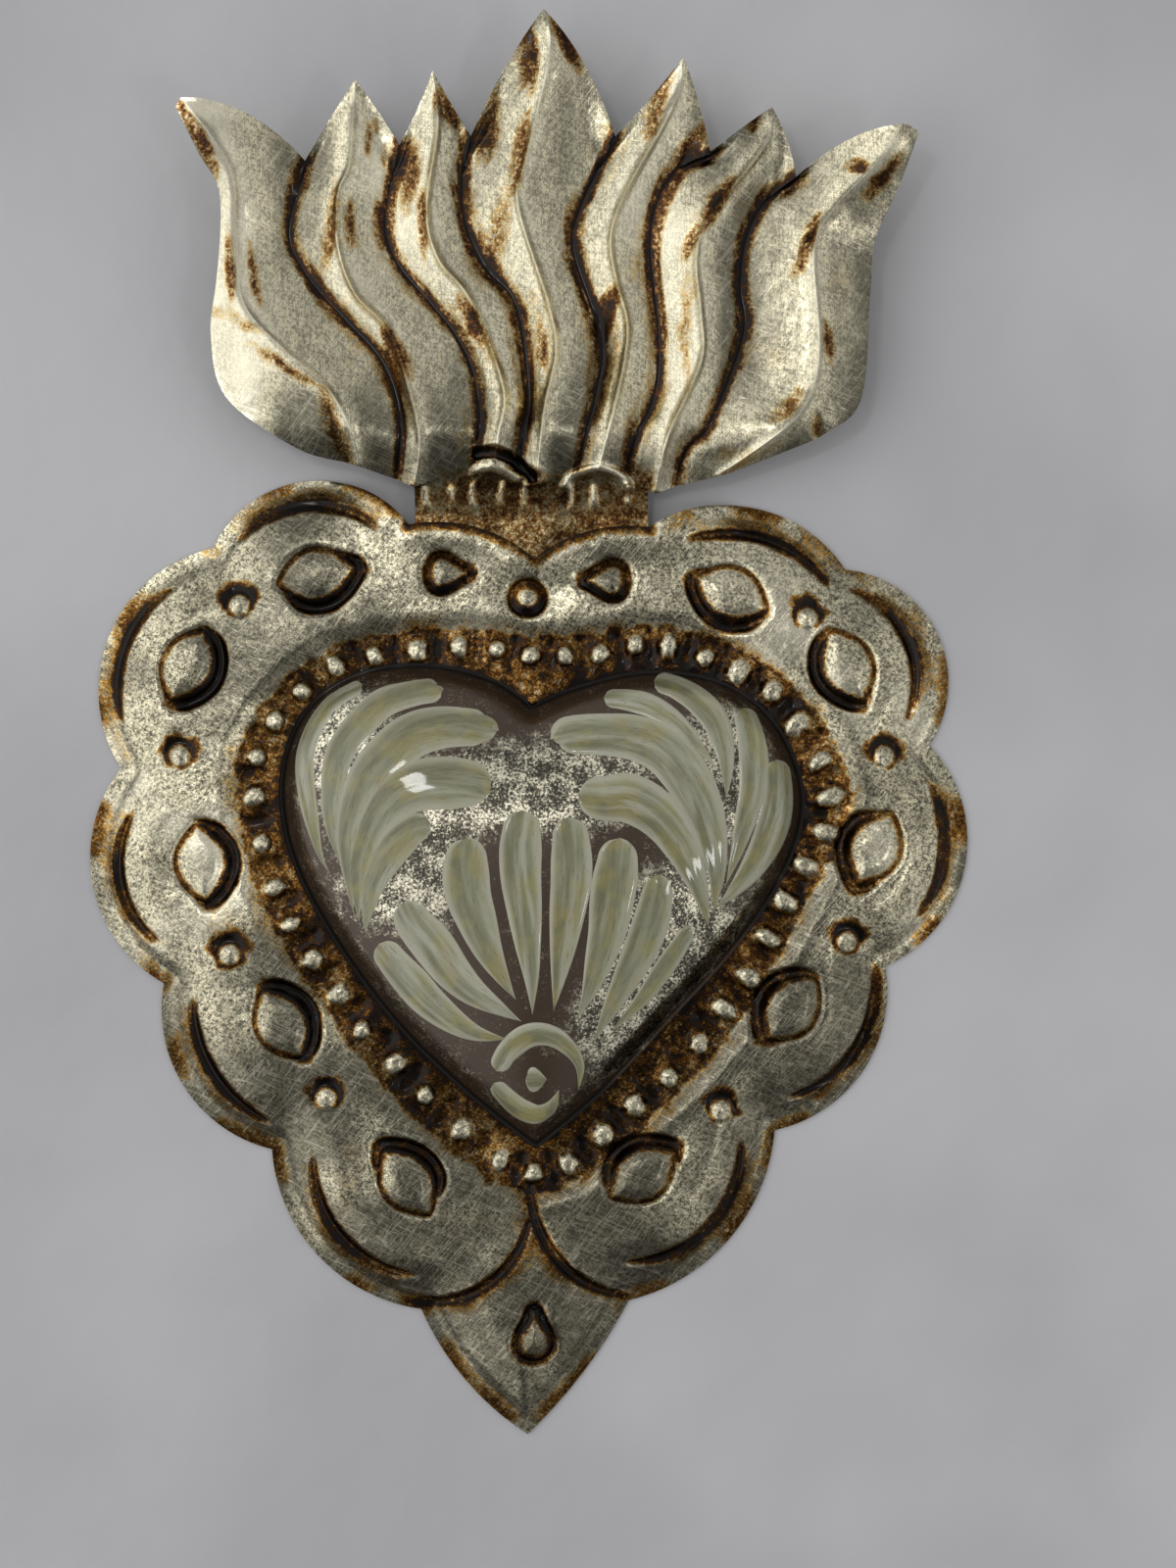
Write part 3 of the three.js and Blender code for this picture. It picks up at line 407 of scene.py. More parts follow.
def is_inside(p, outline):
    inside = np.zeros(len(p), bool)
    for a, b in zip(np.roll(outline, 1, 0), outline):
        if a[1] == b[1]:
            continue
        crosses = (a[1] > p[:, 1]) != (b[1] > p[:, 1])
        inside ^= crosses & (p[:, 0] < a[0] + (b[0] - a[0]) * (p[:, 1] - a[1]) / (b[1] - a[1]))
    return inside


def distance_outside(p, outline):
    """The distance to a closed outline, negative inside it."""
    distance = distance_to_line(p, closed_line(outline))
    return np.where(is_inside(p, outline), -distance, distance)


def offset_line(line, distance):
    """A copy of a closed line, moved to its left."""
    back = line - np.roll(line, 1, 0)
    ahead = np.roll(line, -1, 0) - line
    left = back / length_of(back)[:, None] + ahead / length_of(ahead)[:, None]
    left = np.column_stack([-left[:, 1], left[:, 0]]) / length_of(left)[:, None]
    return line + distance * left


def turned(vectors, degrees):
    angle = math.radians(degrees)
    x, y = vectors[:, 0], vectors[:, 1]
    return np.column_stack([
        x * math.cos(angle) - y * math.sin(angle), x * math.sin(angle) + y * math.cos(angle),
    ])


def ripples(p, wavelength, count=7):
    """Soft unevenness between -1 and 1, as in sheet worked by hand."""
    total = np.zeros(len(p))
    for _ in range(count):
        direction, phase = rng.uniform(0, 2 * math.pi, 2)
        frequency = 2 * math.pi / (wavelength * rng.uniform(0.7, 1.5))
        wave = [math.cos(direction) * frequency, math.sin(direction) * frequency]
        total += np.sin(p @ wave + phase)
    return total / count


def mottle(p, size, stretch=1.0):
    """Cloudy unevenness, mostly between -1 and 1, with detail down to a quarter of its size. It can be
    stretched along y."""
    cells = 53  # after which the pattern repeats
    total = np.zeros(len(p))
    for octave in range(3):
        q = p / [size, size * stretch] * 2**octave
        cell = np.floor(q).astype(int)
        right, up = smoothly(q - cell).T
        table = rng.uniform(-1, 1, (cells, cells))
        corners = [table[tuple((cell + step).T % cells)] for step in ([0, 0], [1, 0], [0, 1], [1, 1])]
        total += mix(mix(*corners[:2], right), mix(*corners[2:], right), up) * 0.6**octave
    return total / 1.3


def hex_grid(low, high, spacing):
    """Points in rows over a rectangle, every other row half a step aside."""
    rows = []
    for i, y in enumerate(np.arange(low[1], high[1], spacing * 0.866)):
        x = np.arange(low[0] + spacing * 0.5 * (i % 2), high[0], spacing)
        rows.append(np.column_stack([x, np.full(len(x), y)]))
    return np.vstack(rows)


def thinned(groups, cell):
    """Keeps, group by group, the points that lie no closer to those kept before than the group's gap."""
    kept, cells = [], {}
    for points, gap in groups:
        for x, y in points.tolist():
            i, j = math.floor(x / cell), math.floor(y / cell)
            near = (q for a in (i - 1, i, i + 1) for b in (j - 1, j, j + 1) for q in cells.get((a, b), ()))
            if all((x - q[0]) ** 2 + (y - q[1]) ** 2 >= gap * gap for q in near):
                cells.setdefault((i, j), []).append((x, y))
                kept.append((x, y))
    return np.array(kept)


# Meshes

tin_back = {"patina": 0.1, "polish_and_painted_light": 0.0}  # the coats on a tin sheet's back


def net(points, loops):
    """Triangles that join plan points, of which the loops come first, the outer one anticlockwise."""
    edges, start = [], 0
    for loop in loops:
        edges += [(start + i, start + (i + 1) % len(loop)) for i in range(len(loop))]
        start += len(loop)
    found = delaunay_2d_cdt([Vector(p) for p in points], edges, [], 0, 1e-7)
    origin = [source[0] for source in found[3]]
    triangles = np.array([[origin[i] for i in face] for face in found[2]])
    on_edge = (triangles < start).all(1)
    centres = points[triangles[on_edge]].mean(1)
    keep = np.ones(len(triangles), bool)
    keep[on_edge] = is_inside(centres, loops[0]) & ~is_inside(centres, loops[1])
    triangles = triangles[keep]
    a, b, c = (points[triangles[:, i]] for i in range(3))
    clockwise = (b - a)[:, 0] * (c - a)[:, 1] < (b - a)[:, 1] * (c - a)[:, 0]
    triangles[clockwise] = triangles[clockwise][:, ::-1]
    return triangles.tolist()


def grid(rows, columns, ring=False, start=0):
    """Quads of a grid of points, row below row, anticlockwise from above."""
    faces = []
    for row in range(rows - 1):
        for column in range(columns if ring else columns - 1):
            a, b = start + row * columns + column, start + row * columns + (column + 1) % columns
            faces.append((a, a + columns, b + columns, b))
    return faces


def placed(name, data, location=(0, 0, 0)):
    """A new object in the scene."""
    piece = bpy.data.objects.new(name, data)
    piece.location = location
    bpy.context.scene.collection.objects.link(piece)
    return piece


def sheet(name, plan, height, faces, material, values, back_values=tin_back, thickness=sheet_thickness):
    """A closed smooth sheet whose face has the given points, in pattern millimetres, and whose back lies
    straight below them. Each value is one number, or one for each point."""
    count = len(plan)
    edges = np.array([(face[i - 1], face[i]) for face in faces for i in range(len(face))])
    both_ways = np.isin(edges @ [count, 1], edges @ [1, count])
    back = [tuple(i + count for i in reversed(face)) for face in faces]
    wall = [(b, a, a + count, b + count) for a, b in edges[~both_ways].tolist()]
    top = np.column_stack([plan, height])
    points = np.vstack([top, np.column_stack([plan, height - thickness])])
    mesh = bpy.data.meshes.new(name)
    mesh.from_pydata(((points + pattern_shift) * MM).tolist(), [], [*faces, *back, *wall])
    for key, value in values.items():
        attribute = mesh.attributes.new(key, "FLOAT", "POINT")
        columns = [np.broadcast_to(side, count) for side in (value, back_values[key])]
        attribute.data.foreach_set("value", np.concatenate(columns).astype(np.float32))
    mesh.polygons.foreach_set("use_smooth", np.ones(len(mesh.polygons), bool))
    mesh.set_sharp_from_angle(angle=math.radians(50))
    mesh.materials.append(material)
    mesh.validate()
    return placed(name, mesh)


def dress(piece, slot, *nodes):
    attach(piece, "root")
    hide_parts(*nodes)


# The pattern lies in the frame where the heart plate does
outline_spacing = 0.4
plate_arcs = [Arc(*scallop, after[0]) for scallop, after in zip(scallops, scallops[1:] + scallops[:1])]
plate_edge = np.vstack([arc.points(outline_spacing)[:-1] for arc in plate_arcs])
outline_box = np.array([plate_edge.min(0), plate_edge.max(0)])
plate_box = np.array(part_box("heart_plate")) / MM
pattern_shift = np.array([*(plate_box[:, :2].mean(0) - outline_box.mean(0)), plate_box[0, 2]])


# Materials

class Nodes:
    """The node tree of a material or a world, built one node at a time."""

    def __init__(self, owner, surface):
        owner.use_nodes = True
        self.tree = owner.node_tree
        self.surface = self.tree.nodes[surface]
        self.coordinates = self.node("ShaderNodeTexCoord").outputs

    def node(self, kind, inputs=None, **settings):
        node = self.tree.nodes.new(kind)
        for key, value in settings.items():
            setattr(node, key, value)
        for key, value in (inputs or {}).items():
            self.put(value, node.inputs[key])
        return node

    def put(self, value, socket):
        if isinstance(value, bpy.types.NodeSocket):
            self.tree.links.new(value, socket)
        else:
            socket.default_value = value

    def set(self, **inputs):
        for key, value in inputs.items():
            self.put(value, self.surface.inputs[key.replace("_", " ")])

    def math(self, operation, a, b, clamp=False):
        return self.node("ShaderNodeMath", {0: a, 1: b}, operation=operation, use_clamp=clamp).outputs[0]

    def plus(self, a, b, clamp=False):
        return self.math("ADD", a, b, clamp)

    def minus(self, a, b):
        return self.math("SUBTRACT", a, b)

    def times(self, a, b):
        return self.math("MULTIPLY", a, b)

    def range(self, value, low, high, to_low=0.0, to_high=1.0):
        inputs = {"Value": value, "From Min": low, "From Max": high, "To Min": to_low, "To Max": to_high}
        return self.node("ShaderNodeMapRange", inputs, interpolation_type="SMOOTHSTEP").outputs["Result"]


class Shader(Nodes):
    """A material. Lengths are in millimetres."""

    def __init__(self, name):
        self.material = bpy.data.materials.new(name)
        super().__init__(self.material, "Principled BSDF")
        self.place = self.scaled(self.coordinates["Object"], (1 / MM,) * 3)

    def attribute(self, name):
        return self.node("ShaderNodeAttribute", attribute_name=name).outputs["Fac"]

    def scaled(self, vector, factors):
        return self.node("ShaderNodeVectorMath", {0: vector, 1: factors}, operation="MULTIPLY").outputs[0]

    def noise(self, size, detail, place=None, roughness=0.5):
        inputs = {0: place or self.place, "Scale": 1 / size, "Detail": detail, "Roughness": roughness}
        return self.node("ShaderNodeTexNoise", inputs).outputs["Fac"]

    def drawn_out(self, width, length, angle):
        """Noise drawn out into marks of that width and length, all running one way."""
        inputs = {"Vector": self.place, "Rotation": (0, 0, math.radians(angle))}
        place = self.node("ShaderNodeMapping", inputs).outputs["Vector"]
        return self.noise(1, 1.0, self.scaled(place, (1 / length, 1 / width, 1 / length)))

    def scratches(self, width, length, angles):
        """Brushed marks in each of several directions, from 0 to 1."""
        marks = (self.drawn_out(width, length, angle) for angle in angles)
        return self.math("DIVIDE", reduce(self.plus, marks), len(angles))

    def hairlines(self, width, length, angle):
        """Single long scratches that all run about one way, 1 on a scratch and 0 beside it."""
        off_level = self.math("ABSOLUTE", self.minus(self.drawn_out(width, length, angle), 0.5), 0.0)
        return self.range(off_level, 0.0, 0.025, 1.0, 0.0)

    def ramp(self, value, stops):
        node = self.node("ShaderNodeValToRGB", {"Fac": value})
        elements = node.color_ramp.elements
        while len(elements) < len(stops):
            elements.new(0.5)
        for element, (position, colour) in zip(elements, stops):
            element.position = position
            element.color = (*colour, 1)
        return node.outputs["Color"]

    def blend(self, share, a, b, blend_type="MIX"):
        node = self.node("ShaderNodeMix", data_type="RGBA", blend_type=blend_type)
        for value, socket in ((share, 0), (a, 6), (b, 7)):
            self.put((*value, 1) if isinstance(value, tuple) else value, node.inputs[socket])
        return node.outputs[2]

    def bumped(self, height, depth):
        """A surface normal pressed in or raised by up to that depth."""
        return self.node("ShaderNodeBump", {"Height": height, "Distance": depth * MM}).outputs["Normal"]


def lacquered_tin(name, fleck, scratch_angles, scratched, speckled, stains):
    """Scratched tin under a lacquer that gathers, amber to nearly black, wherever the patina value is high.
    The polish value, which also carries painted light and shade, runs from -1, dull or painted shade, to 1,
    rubbed bright or painted highlight."""
    s = Shader(name)
    gathered, polish_and_painted_light = s.attribute("patina"), s.attribute("polish_and_painted_light")
    blotches = s.noise(1.3, 4.0, roughness=0.7)
    grain = s.noise(0.4, 4.0, roughness=0.8)
    scratches = s.scratches(0.12, 1.7, scratch_angles)
    hairs = s.math("MAXIMUM", s.hairlines(0.7, 9.0, 24), s.hairlines(0.75, 8.0, -51))
    rough = s.blend(scratched, grain, scratches)
    feather = s.times(s.minus(grain, 0.5), s.range(gathered, 0.05, 0.45, 0.0, speckled))
    feather = s.times(feather, s.range(gathered, 0.7, 1.1, 1.0, 0.4))
    patina = s.times(gathered, s.range(blotches, 0.25, 0.75, 0.65, 1.35))
    patina = s.plus(patina, feather, clamp=True)
    tint = s.blend(s.range(rough, 0.435, 0.565), fleck, (0.79, 0.725, 0.51))
    # Darkens the tin where the polish value falls below nought: dull tin and painted shade.
    tint = s.blend(s.range(polish_and_painted_light, -1.0, 0.0, 0.8, 0.0), tint, (0.085, 0.078, 0.058))
    # Lightens the tin along the hairline scratches and where the polish value is high: rubbed metal and
    # painted highlight.
    shine_and_painted_highlight = s.math("MAXIMUM", s.times(hairs, 0.2), s.times(polish_and_painted_light, 0.75))
    tint = s.blend(shine_and_painted_highlight, tint, (0.95, 0.90, 0.71))
    relief = s.plus(s.times(rough, 0.45), s.times(s.noise(1.5, 2.0), 1.4))
    relief = s.plus(relief, s.times(s.noise(4.5, 1.0), 3.0))
    relief = s.minus(relief, s.times(hairs, 0.08))
    s.set(
        Base_Color=s.blend(1.0, tint, s.ramp(patina, stains), "MULTIPLY"),
        Metallic=1.0,
        Roughness=s.range(patina, 0.15, 0.7, 0.27, 0.34),
        Normal=s.bumped(relief, 0.06),
        Coat_Weight=s.range(patina, 0.5, 0.9, 0.0, 0.35),
        Coat_Roughness=0.15,
    )
    return s.material


def glazed_tin():
    """Brown glaze over the dome's tin, worn to sparkling metal wherever the patina value is low and black
    where it is above one."""
    s = Shader("glazed_tin")
    gathered = s.attribute("patina")
    wear = s.noise(1.4, 5.0, roughness=0.75)
    covered = s.plus(gathered, s.times(s.minus(wear, 0.5), 1.1), clamp=True)
    flakes = s.noise(0.32, 4.0, roughness=0.85)
    sparks = s.plus(flakes, s.range(s.noise(2.2, 3.0), 0.3, 0.7, -0.07, 0.05))
    bare = s.blend(s.range(sparks, 0.45, 0.60), (0.055, 0.050, 0.038), (0.92, 0.86, 0.66))
    glazed = s.blend(s.range(sparks, 0.57, 0.72), (0.056, 0.036, 0.022), (0.30, 0.23, 0.14))
    colour = s.blend(s.range(covered, 0.35, 0.75), bare, glazed)
    black = s.range(s.plus(gathered, s.times(flakes, 0.3)), 1.0, 1.3)
    s.set(
        Base_Color=s.blend(black, colour, (0.012, 0.009, 0.007)),
        Metallic=s.range(covered, 0.3, 0.8, 1.0, 0.3),
        Roughness=s.range(black, 0.0, 1.0, 0.27, 0.6),
        Normal=s.bumped(flakes, 0.02),
        Coat_Weight=0.2,
        Coat_Roughness=0.06,
    )
    return s.material


def brushed_paint():
    """Thin olive and cream paint, streaked along the stroke, paler towards one side and along its edges."""
    s = Shader("brushed_paint")
    across, white, rim = s.attribute("across"), s.attribute("white"), s.attribute("rim")
    along = s.times(s.attribute("along"), 0.10)
    place = s.node("ShaderNodeCombineXYZ", {0: along, 1: across, 2: s.attribute("order")}).outputs[0]
    streaks = s.noise(0.16, 3.0, place, roughness=0.7)
    load = s.noise(0.9, 1.0, place)
    side = s.plus(s.attribute("side"), s.times(s.minus(load, 0.5), 1.3))
    colour = s.ramp(s.range(side, -1.0, 1.0), [
        (0.0, (0.155, 0.150, 0.078)), (0.35, (0.180, 0.180, 0.102)), (0.7, (0.225, 0.230, 0.142)),
        (1.0, (0.36, 0.355, 0.255)),
    ])
    colour = s.blend(s.range(s.noise(3.2, 2.0), 0.42, 0.62, 0.0, 0.6), colour, (0.29, 0.255, 0.085))
    colour = s.blend(s.times(white, s.range(load, 0.4, 0.7)), colour, (0.40, 0.395, 0.31))
    colour = s.blend(s.range(streaks, 0.54, 0.72, 0.0, 0.7), colour, (0.085, 0.078, 0.050))
    colour = s.blend(s.range(streaks, 0.26, 0.44, 0.5, 0.0), colour, (0.40, 0.37, 0.22))
    colour = s.blend(s.times(rim, 0.7), colour, (0.44, 0.43, 0.33))
    s.set(
        Base_Color=colour,
        Roughness=0.5,
        Specular_IOR_Level=0.3,
        Normal=s.bumped(streaks, 0.025),
        Coat_Weight=0.6,
        Coat_Roughness=0.06,
    )
    return s.material


def solder_metal():
    s = Shader("solder_metal")
    dull = s.noise(0.8, 4.0, roughness=0.6)
    s.set(
        Base_Color=s.blend(dull, (0.36, 0.36, 0.35), (0.58, 0.57, 0.55)),
        Metallic=1.0,
        Roughness=s.range(dull, 0.3, 0.7, 0.3, 0.55),
        Normal=s.bumped(dull, 0.06),
    )
    return s.material


# How the lacquer colours the tin as it gathers
amber_stains = [
    (0.10, (1.0, 1.0, 1.0)), (0.26, (0.80, 0.54, 0.22)), (0.40, (0.50, 0.245, 0.050)),
    (0.54, (0.24, 0.100, 0.024)), (0.70, (0.080, 0.036, 0.015)), (0.92, (0.014, 0.009, 0.006)),
]
brown_stains = [
    (0.10, (1.0, 1.0, 1.0)), (0.26, (0.80, 0.66, 0.44)), (0.40, (0.44, 0.26, 0.11)),
    (0.54, (0.20, 0.092, 0.040)), (0.70, (0.075, 0.032, 0.018)), (0.92, (0.014, 0.009, 0.007)),
]
plate_scratch_angles = (8, 35, 62, 97, 121, 152)
flame_scratch_angles = (84, 97, 12, 48, 131)
plate_tin = lacquered_tin("plate_tin", (0.085, 0.078, 0.055), plate_scratch_angles, 0.55, 3.0, amber_stains)
flame_tin = lacquered_tin("flame_tin", (0.27, 0.25, 0.18), flame_scratch_angles, 0.7, 2.0, brown_stains)
glaze = glazed_tin()
paint = brushed_paint()
solder = solder_metal()


# Heart plate

def almond(u):
    return 1 - u * u


def disc(u):
    return np.sqrt(np.maximum(0, 1 - u * u))


def drop(u):
    return (1 - u) * disc(u) / (1.5 * disc(0.5))


class Stamp:
    """A raised medallion or drop with its groove, deeper on the side that faces the heart's middle."""

    def __init__(self, at, turn, length, width, shape, ring, depth, dark=1.0):
        angle = np.linspace(0, 2 * math.pi, 48, endpoint=False)
        along, across = np.cos(angle), np.sin(angle)
        outline = np.column_stack([along * length / 2, np.sign(across) * width / 2 * shape(along)])
        self.at = np.array(at)
        self.outline = turned(outline, turn) + self.at
        self.half_width = width / 2
        self.reach = length / 2
        self.ring = ring
        self.depth = depth
        self.dark = dark

    def rings(self, spacing):
        """Lines of evenly spaced points along the outline, from inside it to beyond its groove."""
        line = closed_line(self.outline)
        count = round(length_of(np.diff(line, axis=0)).sum() / spacing)
        even = evenly(line, count + 1)[:-1]
        return [offset_line(even, -outside) for outside in np.arange(-1.2, self.ring[1] + 0.5, spacing)]

    def press(self, p, height, patina, ragged):
        near = length_of(p - self.at) < self.reach + self.ring[1] + 1.5
        local = p[near]
        outside = distance_outside(local, self.outline)
        to_middle = dome_middle - self.at
        facing = (local - self.at) @ to_middle
        facing /= length_of(local - self.at) * math.hypot(*to_middle) + 1e-9
        inner = smoothly((facing + 0.35) / 0.9)
        ring = mix(*self.ring, inner)
        height[near] -= mix(*self.depth, inner) * bump(outside - ring / 2, ring / 2)
        swell = 0.8 + 0.2 * np.clip(-outside / self.half_width, 0, 1)
        height[near] += stamp_rise * smoothly(-outside / min(1.2, self.half_width)) * swell
        filled = self.dark * mix(0.6, 1.05, inner) * (0.92 + 0.3 * ripples(local, 3))
        spread = outside + 0.22 * ragged[near]
        patina[near] += filled * smoothly((spread + 0.25) / 0.4) * smoothly((ring * 0.92 - spread) / 0.5)


edge_over_neck = np.vstack([arc.points(outline_spacing) for arc in plate_arcs[-2:]])
neck_ends = np.array([[neck_middle[0] + side * neck_width / 2, neck_middle[1]] for side in (-1, 1)])
dome_edge = np.vstack([
    evenly(catmull_rom(dome_left, 24), 141)[:-1],
    evenly(catmull_rom(dome_right, 24), 141)[::-1][:-1],
])
opening_edge = offset_line(dome_edge, -seam_gap)

# Beads and cells as a hand sets them, each a little off its place and size
beads = catmull_rom(bead_line, 3, closed=True)
stray_beads = beads + rng.normal(0, 0.16, beads.shape)
cells = (beads + np.roll(beads, -1, 0)) / 2 + rng.normal(0, 0.15, beads.shape)
bead_directions = np.roll(beads, -1, 0) - beads
cell_sizes = cell_size * rng.uniform(0.8, 1.15, (len(cells), 2))
bead_sizes = bead_radius * rng.uniform([0.9, 0.85], [1.25, 1.1], beads.shape)
bead_sizes[:, 0] += 0.4 * smoothly((beads[:, 0] - 18) / 8)

groove_arcs = [Arc(*groove) for groove in rim_grooves]
stamps = [
    Stamp([x, y], turn, medallion_length, medallion_width, almond, stamp_ring, stamp_depth, dark)
    for x, y, turn, dark in medallions
] + [
    Stamp([x, y], turn, length, width, drop if length > width else disc, drop_ring, drop_depth)
    for x, y, turn, length, width in drops
]


def plate_points():
    """Plan points for the plate's mesh, closest together on its beads, studs, stamps and grooves."""
    fine, middling, coarse = 0.28, 0.36, 0.62
    groups = [(ring, fine * 0.75) for stamp in stamps for ring in stamp.rings(fine)]
    for centres, reach in ((stray_beads, bead_radius), (np.array(studs), stud_recess_radius)):
        for radius in np.arange(0, reach + 0.3, 0.25):
            count = max(1, round(2 * math.pi * radius / fine))
            angle = np.linspace(0, 2 * math.pi, count, endpoint=False)
            circle = radius * np.column_stack([np.cos(angle), np.sin(angle)])
            groups += [(circle + centre, fine * 0.7) for centre in centres]
    for arc in groove_arcs:
        groups += [(arc.points(0.34, outward), fine * 0.7) for outward in np.arange(-1.12, 1.2, 0.22)]
    for inset in (0.2, 0.45):
        groups += [(offset_line(plate_edge, inset), 0.2), (offset_line(opening_edge, -inset), 0.2)]
    band = hex_grid(*outline_box, middling)
    in_band = distance_to_line(band, closed_line(beads)) < band_reach + band_step_width + 0.4
    groups += [(band[in_band], middling * 0.75), (hex_grid(*outline_box, coarse), coarse * 0.7)]
    inside = thinned(groups, coarse)
    clear = np.minimum(distance_to_plate_edge(inside), distance_to_line(inside, closed_line(opening_edge)))
    inside = inside[(clear > 0.13) & is_inside(inside, plate_edge) & ~is_inside(inside, opening_edge)]
    return np.vstack([plate_edge, opening_edge, inside])


def distance_to_plate_edge(p):
    return np.min([arc.nearest(p)[0] for arc in plate_arcs], axis=0)


def plate_blank(p, inset, from_neck):
    """The height of the plate's face before it is stamped and chased."""
    rim = rim_step_height * smoothly((inset - rim_flat) / rim_step_width)
    slope = (field_height - rim_step_height) * smoothly((inset - rim_flat) / field_slope_width)
    lowered = smoothly((from_neck - neck_level_reach) / neck_blend_reach)
    dents = plate_dent_depth * (1 + ripples(p, 15)) * smoothly((inset - 1) / 4)
    return mix(field_height, rim + slope, lowered) - dents


def press_band(p, height, patina, ragged, cloud, outward):
    """Sinks the band round the dome, with its beads in their cells. Returns the beads, 1 on their tops."""
    in_band = 1 - smoothly((outward - band_reach) / band_step_width)
    lumpy = 0.9 + 0.15 * mottle(p, 0.9)
    in_cell, on_bead = np.zeros(len(p)), np.zeros(len(p))
    for cell, bead, direction, cell_reach, bead_reach in zip(
            cells, stray_beads, bead_directions, cell_sizes, bead_sizes):
        along = direction / math.hypot(*direction)
        axes = np.array([[-along[1], along[0]], along]).T
        near = length_of(p - cell) < 2 * cell_size[0]
        u, v = ((p[near] - cell) @ axes / cell_reach).T
        in_cell[near] = np.maximum(in_cell[near], smoothly((1 - np.abs(u) ** 2.6 - v * v) * 1.4))
        near = length_of(p - bead) < 2 * bead_radius
        from_bead = length_of((p[near] - bead) @ axes / bead_reach) * lumpy[near]
        on_bead[near] = np.maximum(on_bead[near], knob(from_bead, 1) - 0.12 * bump(from_bead, 0.4))
    height += bead_rise * on_bead - band_drop * in_band - cell_depth * in_cell

    side = ripples(p, 45)
    edge = 2.1 + 0.55 * in_cell + 0.5 * side + 1.1 * ragged
    stain = 0.37 + 0.14 * in_cell * (0.8 + 0.6 * side) + 0.18 * cloud + 0.28 * mottle(p, 1.2)
    stain += 0.06 * smoothly((0.2 - outward) / 1.2)
    patina += np.maximum(0.24, stain) * (1 - smoothly((outward - edge) / 0.35))
    patina += 0.12 * (1 - smoothly((outward - edge) / 2.4)) * (1 + cloud)
    return on_bead


def press_groove(arc, p, height, patina, ragged):
    distance, share, outside = arc.nearest(p)
    taper = np.sqrt(np.clip(4 * share * (1 - share), 0, 1))
    half = groove_width / 2 * (0.45 + 0.55 * taper)
    height -= groove_depth * (0.4 + 0.6 * taper) * bump(distance, half)
    filled = (0.4 + 0.4 * taper) * (0.80 + 0.4 * ripples(p, 9) + 0.5 * ragged)
    patina += filled * smoothly((1.12 * half - distance - 0.45 * ragged) / 0.5)
    stained = smoothly((outside + 0.3) / 0.6) * bump(distance + ragged, 2.8) * taper
    patina += 0.38 * stained * (0.7 + 0.8 * ripples(p, 8))


def press_studs(p, height, patina, ragged):
    """Raises the studs out of their recesses. Returns the studs, 1 on their tops."""
    from_stud = distance_to_points(p, np.array(studs))
    beyond_recess = distance_to_points(p, np.array(studs) + stud_recess_shift) - stud_recess_radius
    hollow = smoothly(-beyond_recess / 0.9)
    height += stud_rise * knob(from_stud, stud_radius) - stud_recess_depth * hollow
    patina += 0.75 * smoothly((0.35 - beyond_recess + 1.3 * ragged) / 0.8) + 0.4 * hollow
    return knob(from_stud, stud_radius * 1.15)


def plate_polish_and_painted_light(p, outward):
    """Random polish with painted light over it: brighter at the left and the upper right (painted
    highlight), duller low down, at the upper left and beside the lower right of the beads (painted shade)."""
    x, y = p.T
    polish_and_painted_light = 0.9 * mottle(p, 9) - 0.05 - 0.95 * smoothly((8 - y) / 32)
    polish_and_painted_light += 0.45 * smoothly((-30 - x) / 9) * smoothly((y + 22) / 15) * smoothly((24 - y) / 9)
    polish_and_painted_light += 0.6 * bump(length_of(p - [33, 21]), 13) - 0.8 * bump(length_of(p - [-24, 30]), 22)
    # Painted shade beside the lower right of the beads.
    return polish_and_painted_light - 1.1 * smoothly((x - y) / 28) * bump(outward - 3.4, 2.6)


def plate_relief(p):
    """The height of the plate's face at plan points, its patina, and its polish with painted light and
    shade in it.
    """
    inset = distance_to_plate_edge(p)
    from_neck = distance_to_line(p, neck_ends)
    height = plate_blank(p, inset, from_neck)
    patina = 0.05 + 0.07 * mottle(p, 7)
    cloud = mottle(p, 6)
    at_rim = 1 - smoothly((inset - 0.3 + 0.5 * cloud) / 2.2)
    patina += 0.44 * at_rim * smoothly(ripples(p, 10) * 1.8 + 0.2 + 0.4 * cloud)
    ragged = 0.45 * mottle(p, 1.6)
    patina += 0.2 * bump(distance_to_line(p, closed_line(opening_edge)) + 0.4 * ragged, 0.6)

    outward = distance_outside(p, beads)
    on_bead = press_band(p, height, patina, ragged, cloud, outward)
    for arc in groove_arcs:
        press_groove(arc, p, height, patina, ragged)
    for stamp in stamps:
        stamp.press(p, height, patina, ragged)
    on_stud = press_studs(p, height, patina, ragged)

    from_edge = distance_to_line(p, edge_over_neck) + 0.5 * ragged
    over_neck = 1 - smoothly((from_neck - 3) / 5)
    patina += 0.75 * bump(from_edge, 1.2) * over_neck
    rubbed = np.clip(2.0 * on_bead - 0.2 + 1.8 * on_stud, 0, 1)
    patina *= 1 - 0.95 * rubbed
    # Painted highlight: a bright line just inside the plate's edge over the neck.
    polish_and_painted_light = plate_polish_and_painted_light(p, outward) + bump(from_edge - 1.3, 0.5) * over_neck
    height -= 0.1 * (1 - np.minimum(1, inset / 0.3)) ** 2
    return np.maximum(0, height) + sheet_thickness, np.clip(patina, 0, 1.3), mix(polish_and_painted_light, 0.2, rubbed)


def heart_plate():
    points = plate_points()
    height, patina, polish_and_painted_light = plate_relief(points)
    faces = net(points, [plate_edge, opening_edge])
    piece = sheet("heart_sheet", points, height, faces, plate_tin, {"patina": patina, "polish_and_painted_light": polish_and_painted_light})
    dress(piece, "tin", "heart_plate")


# Domed heart

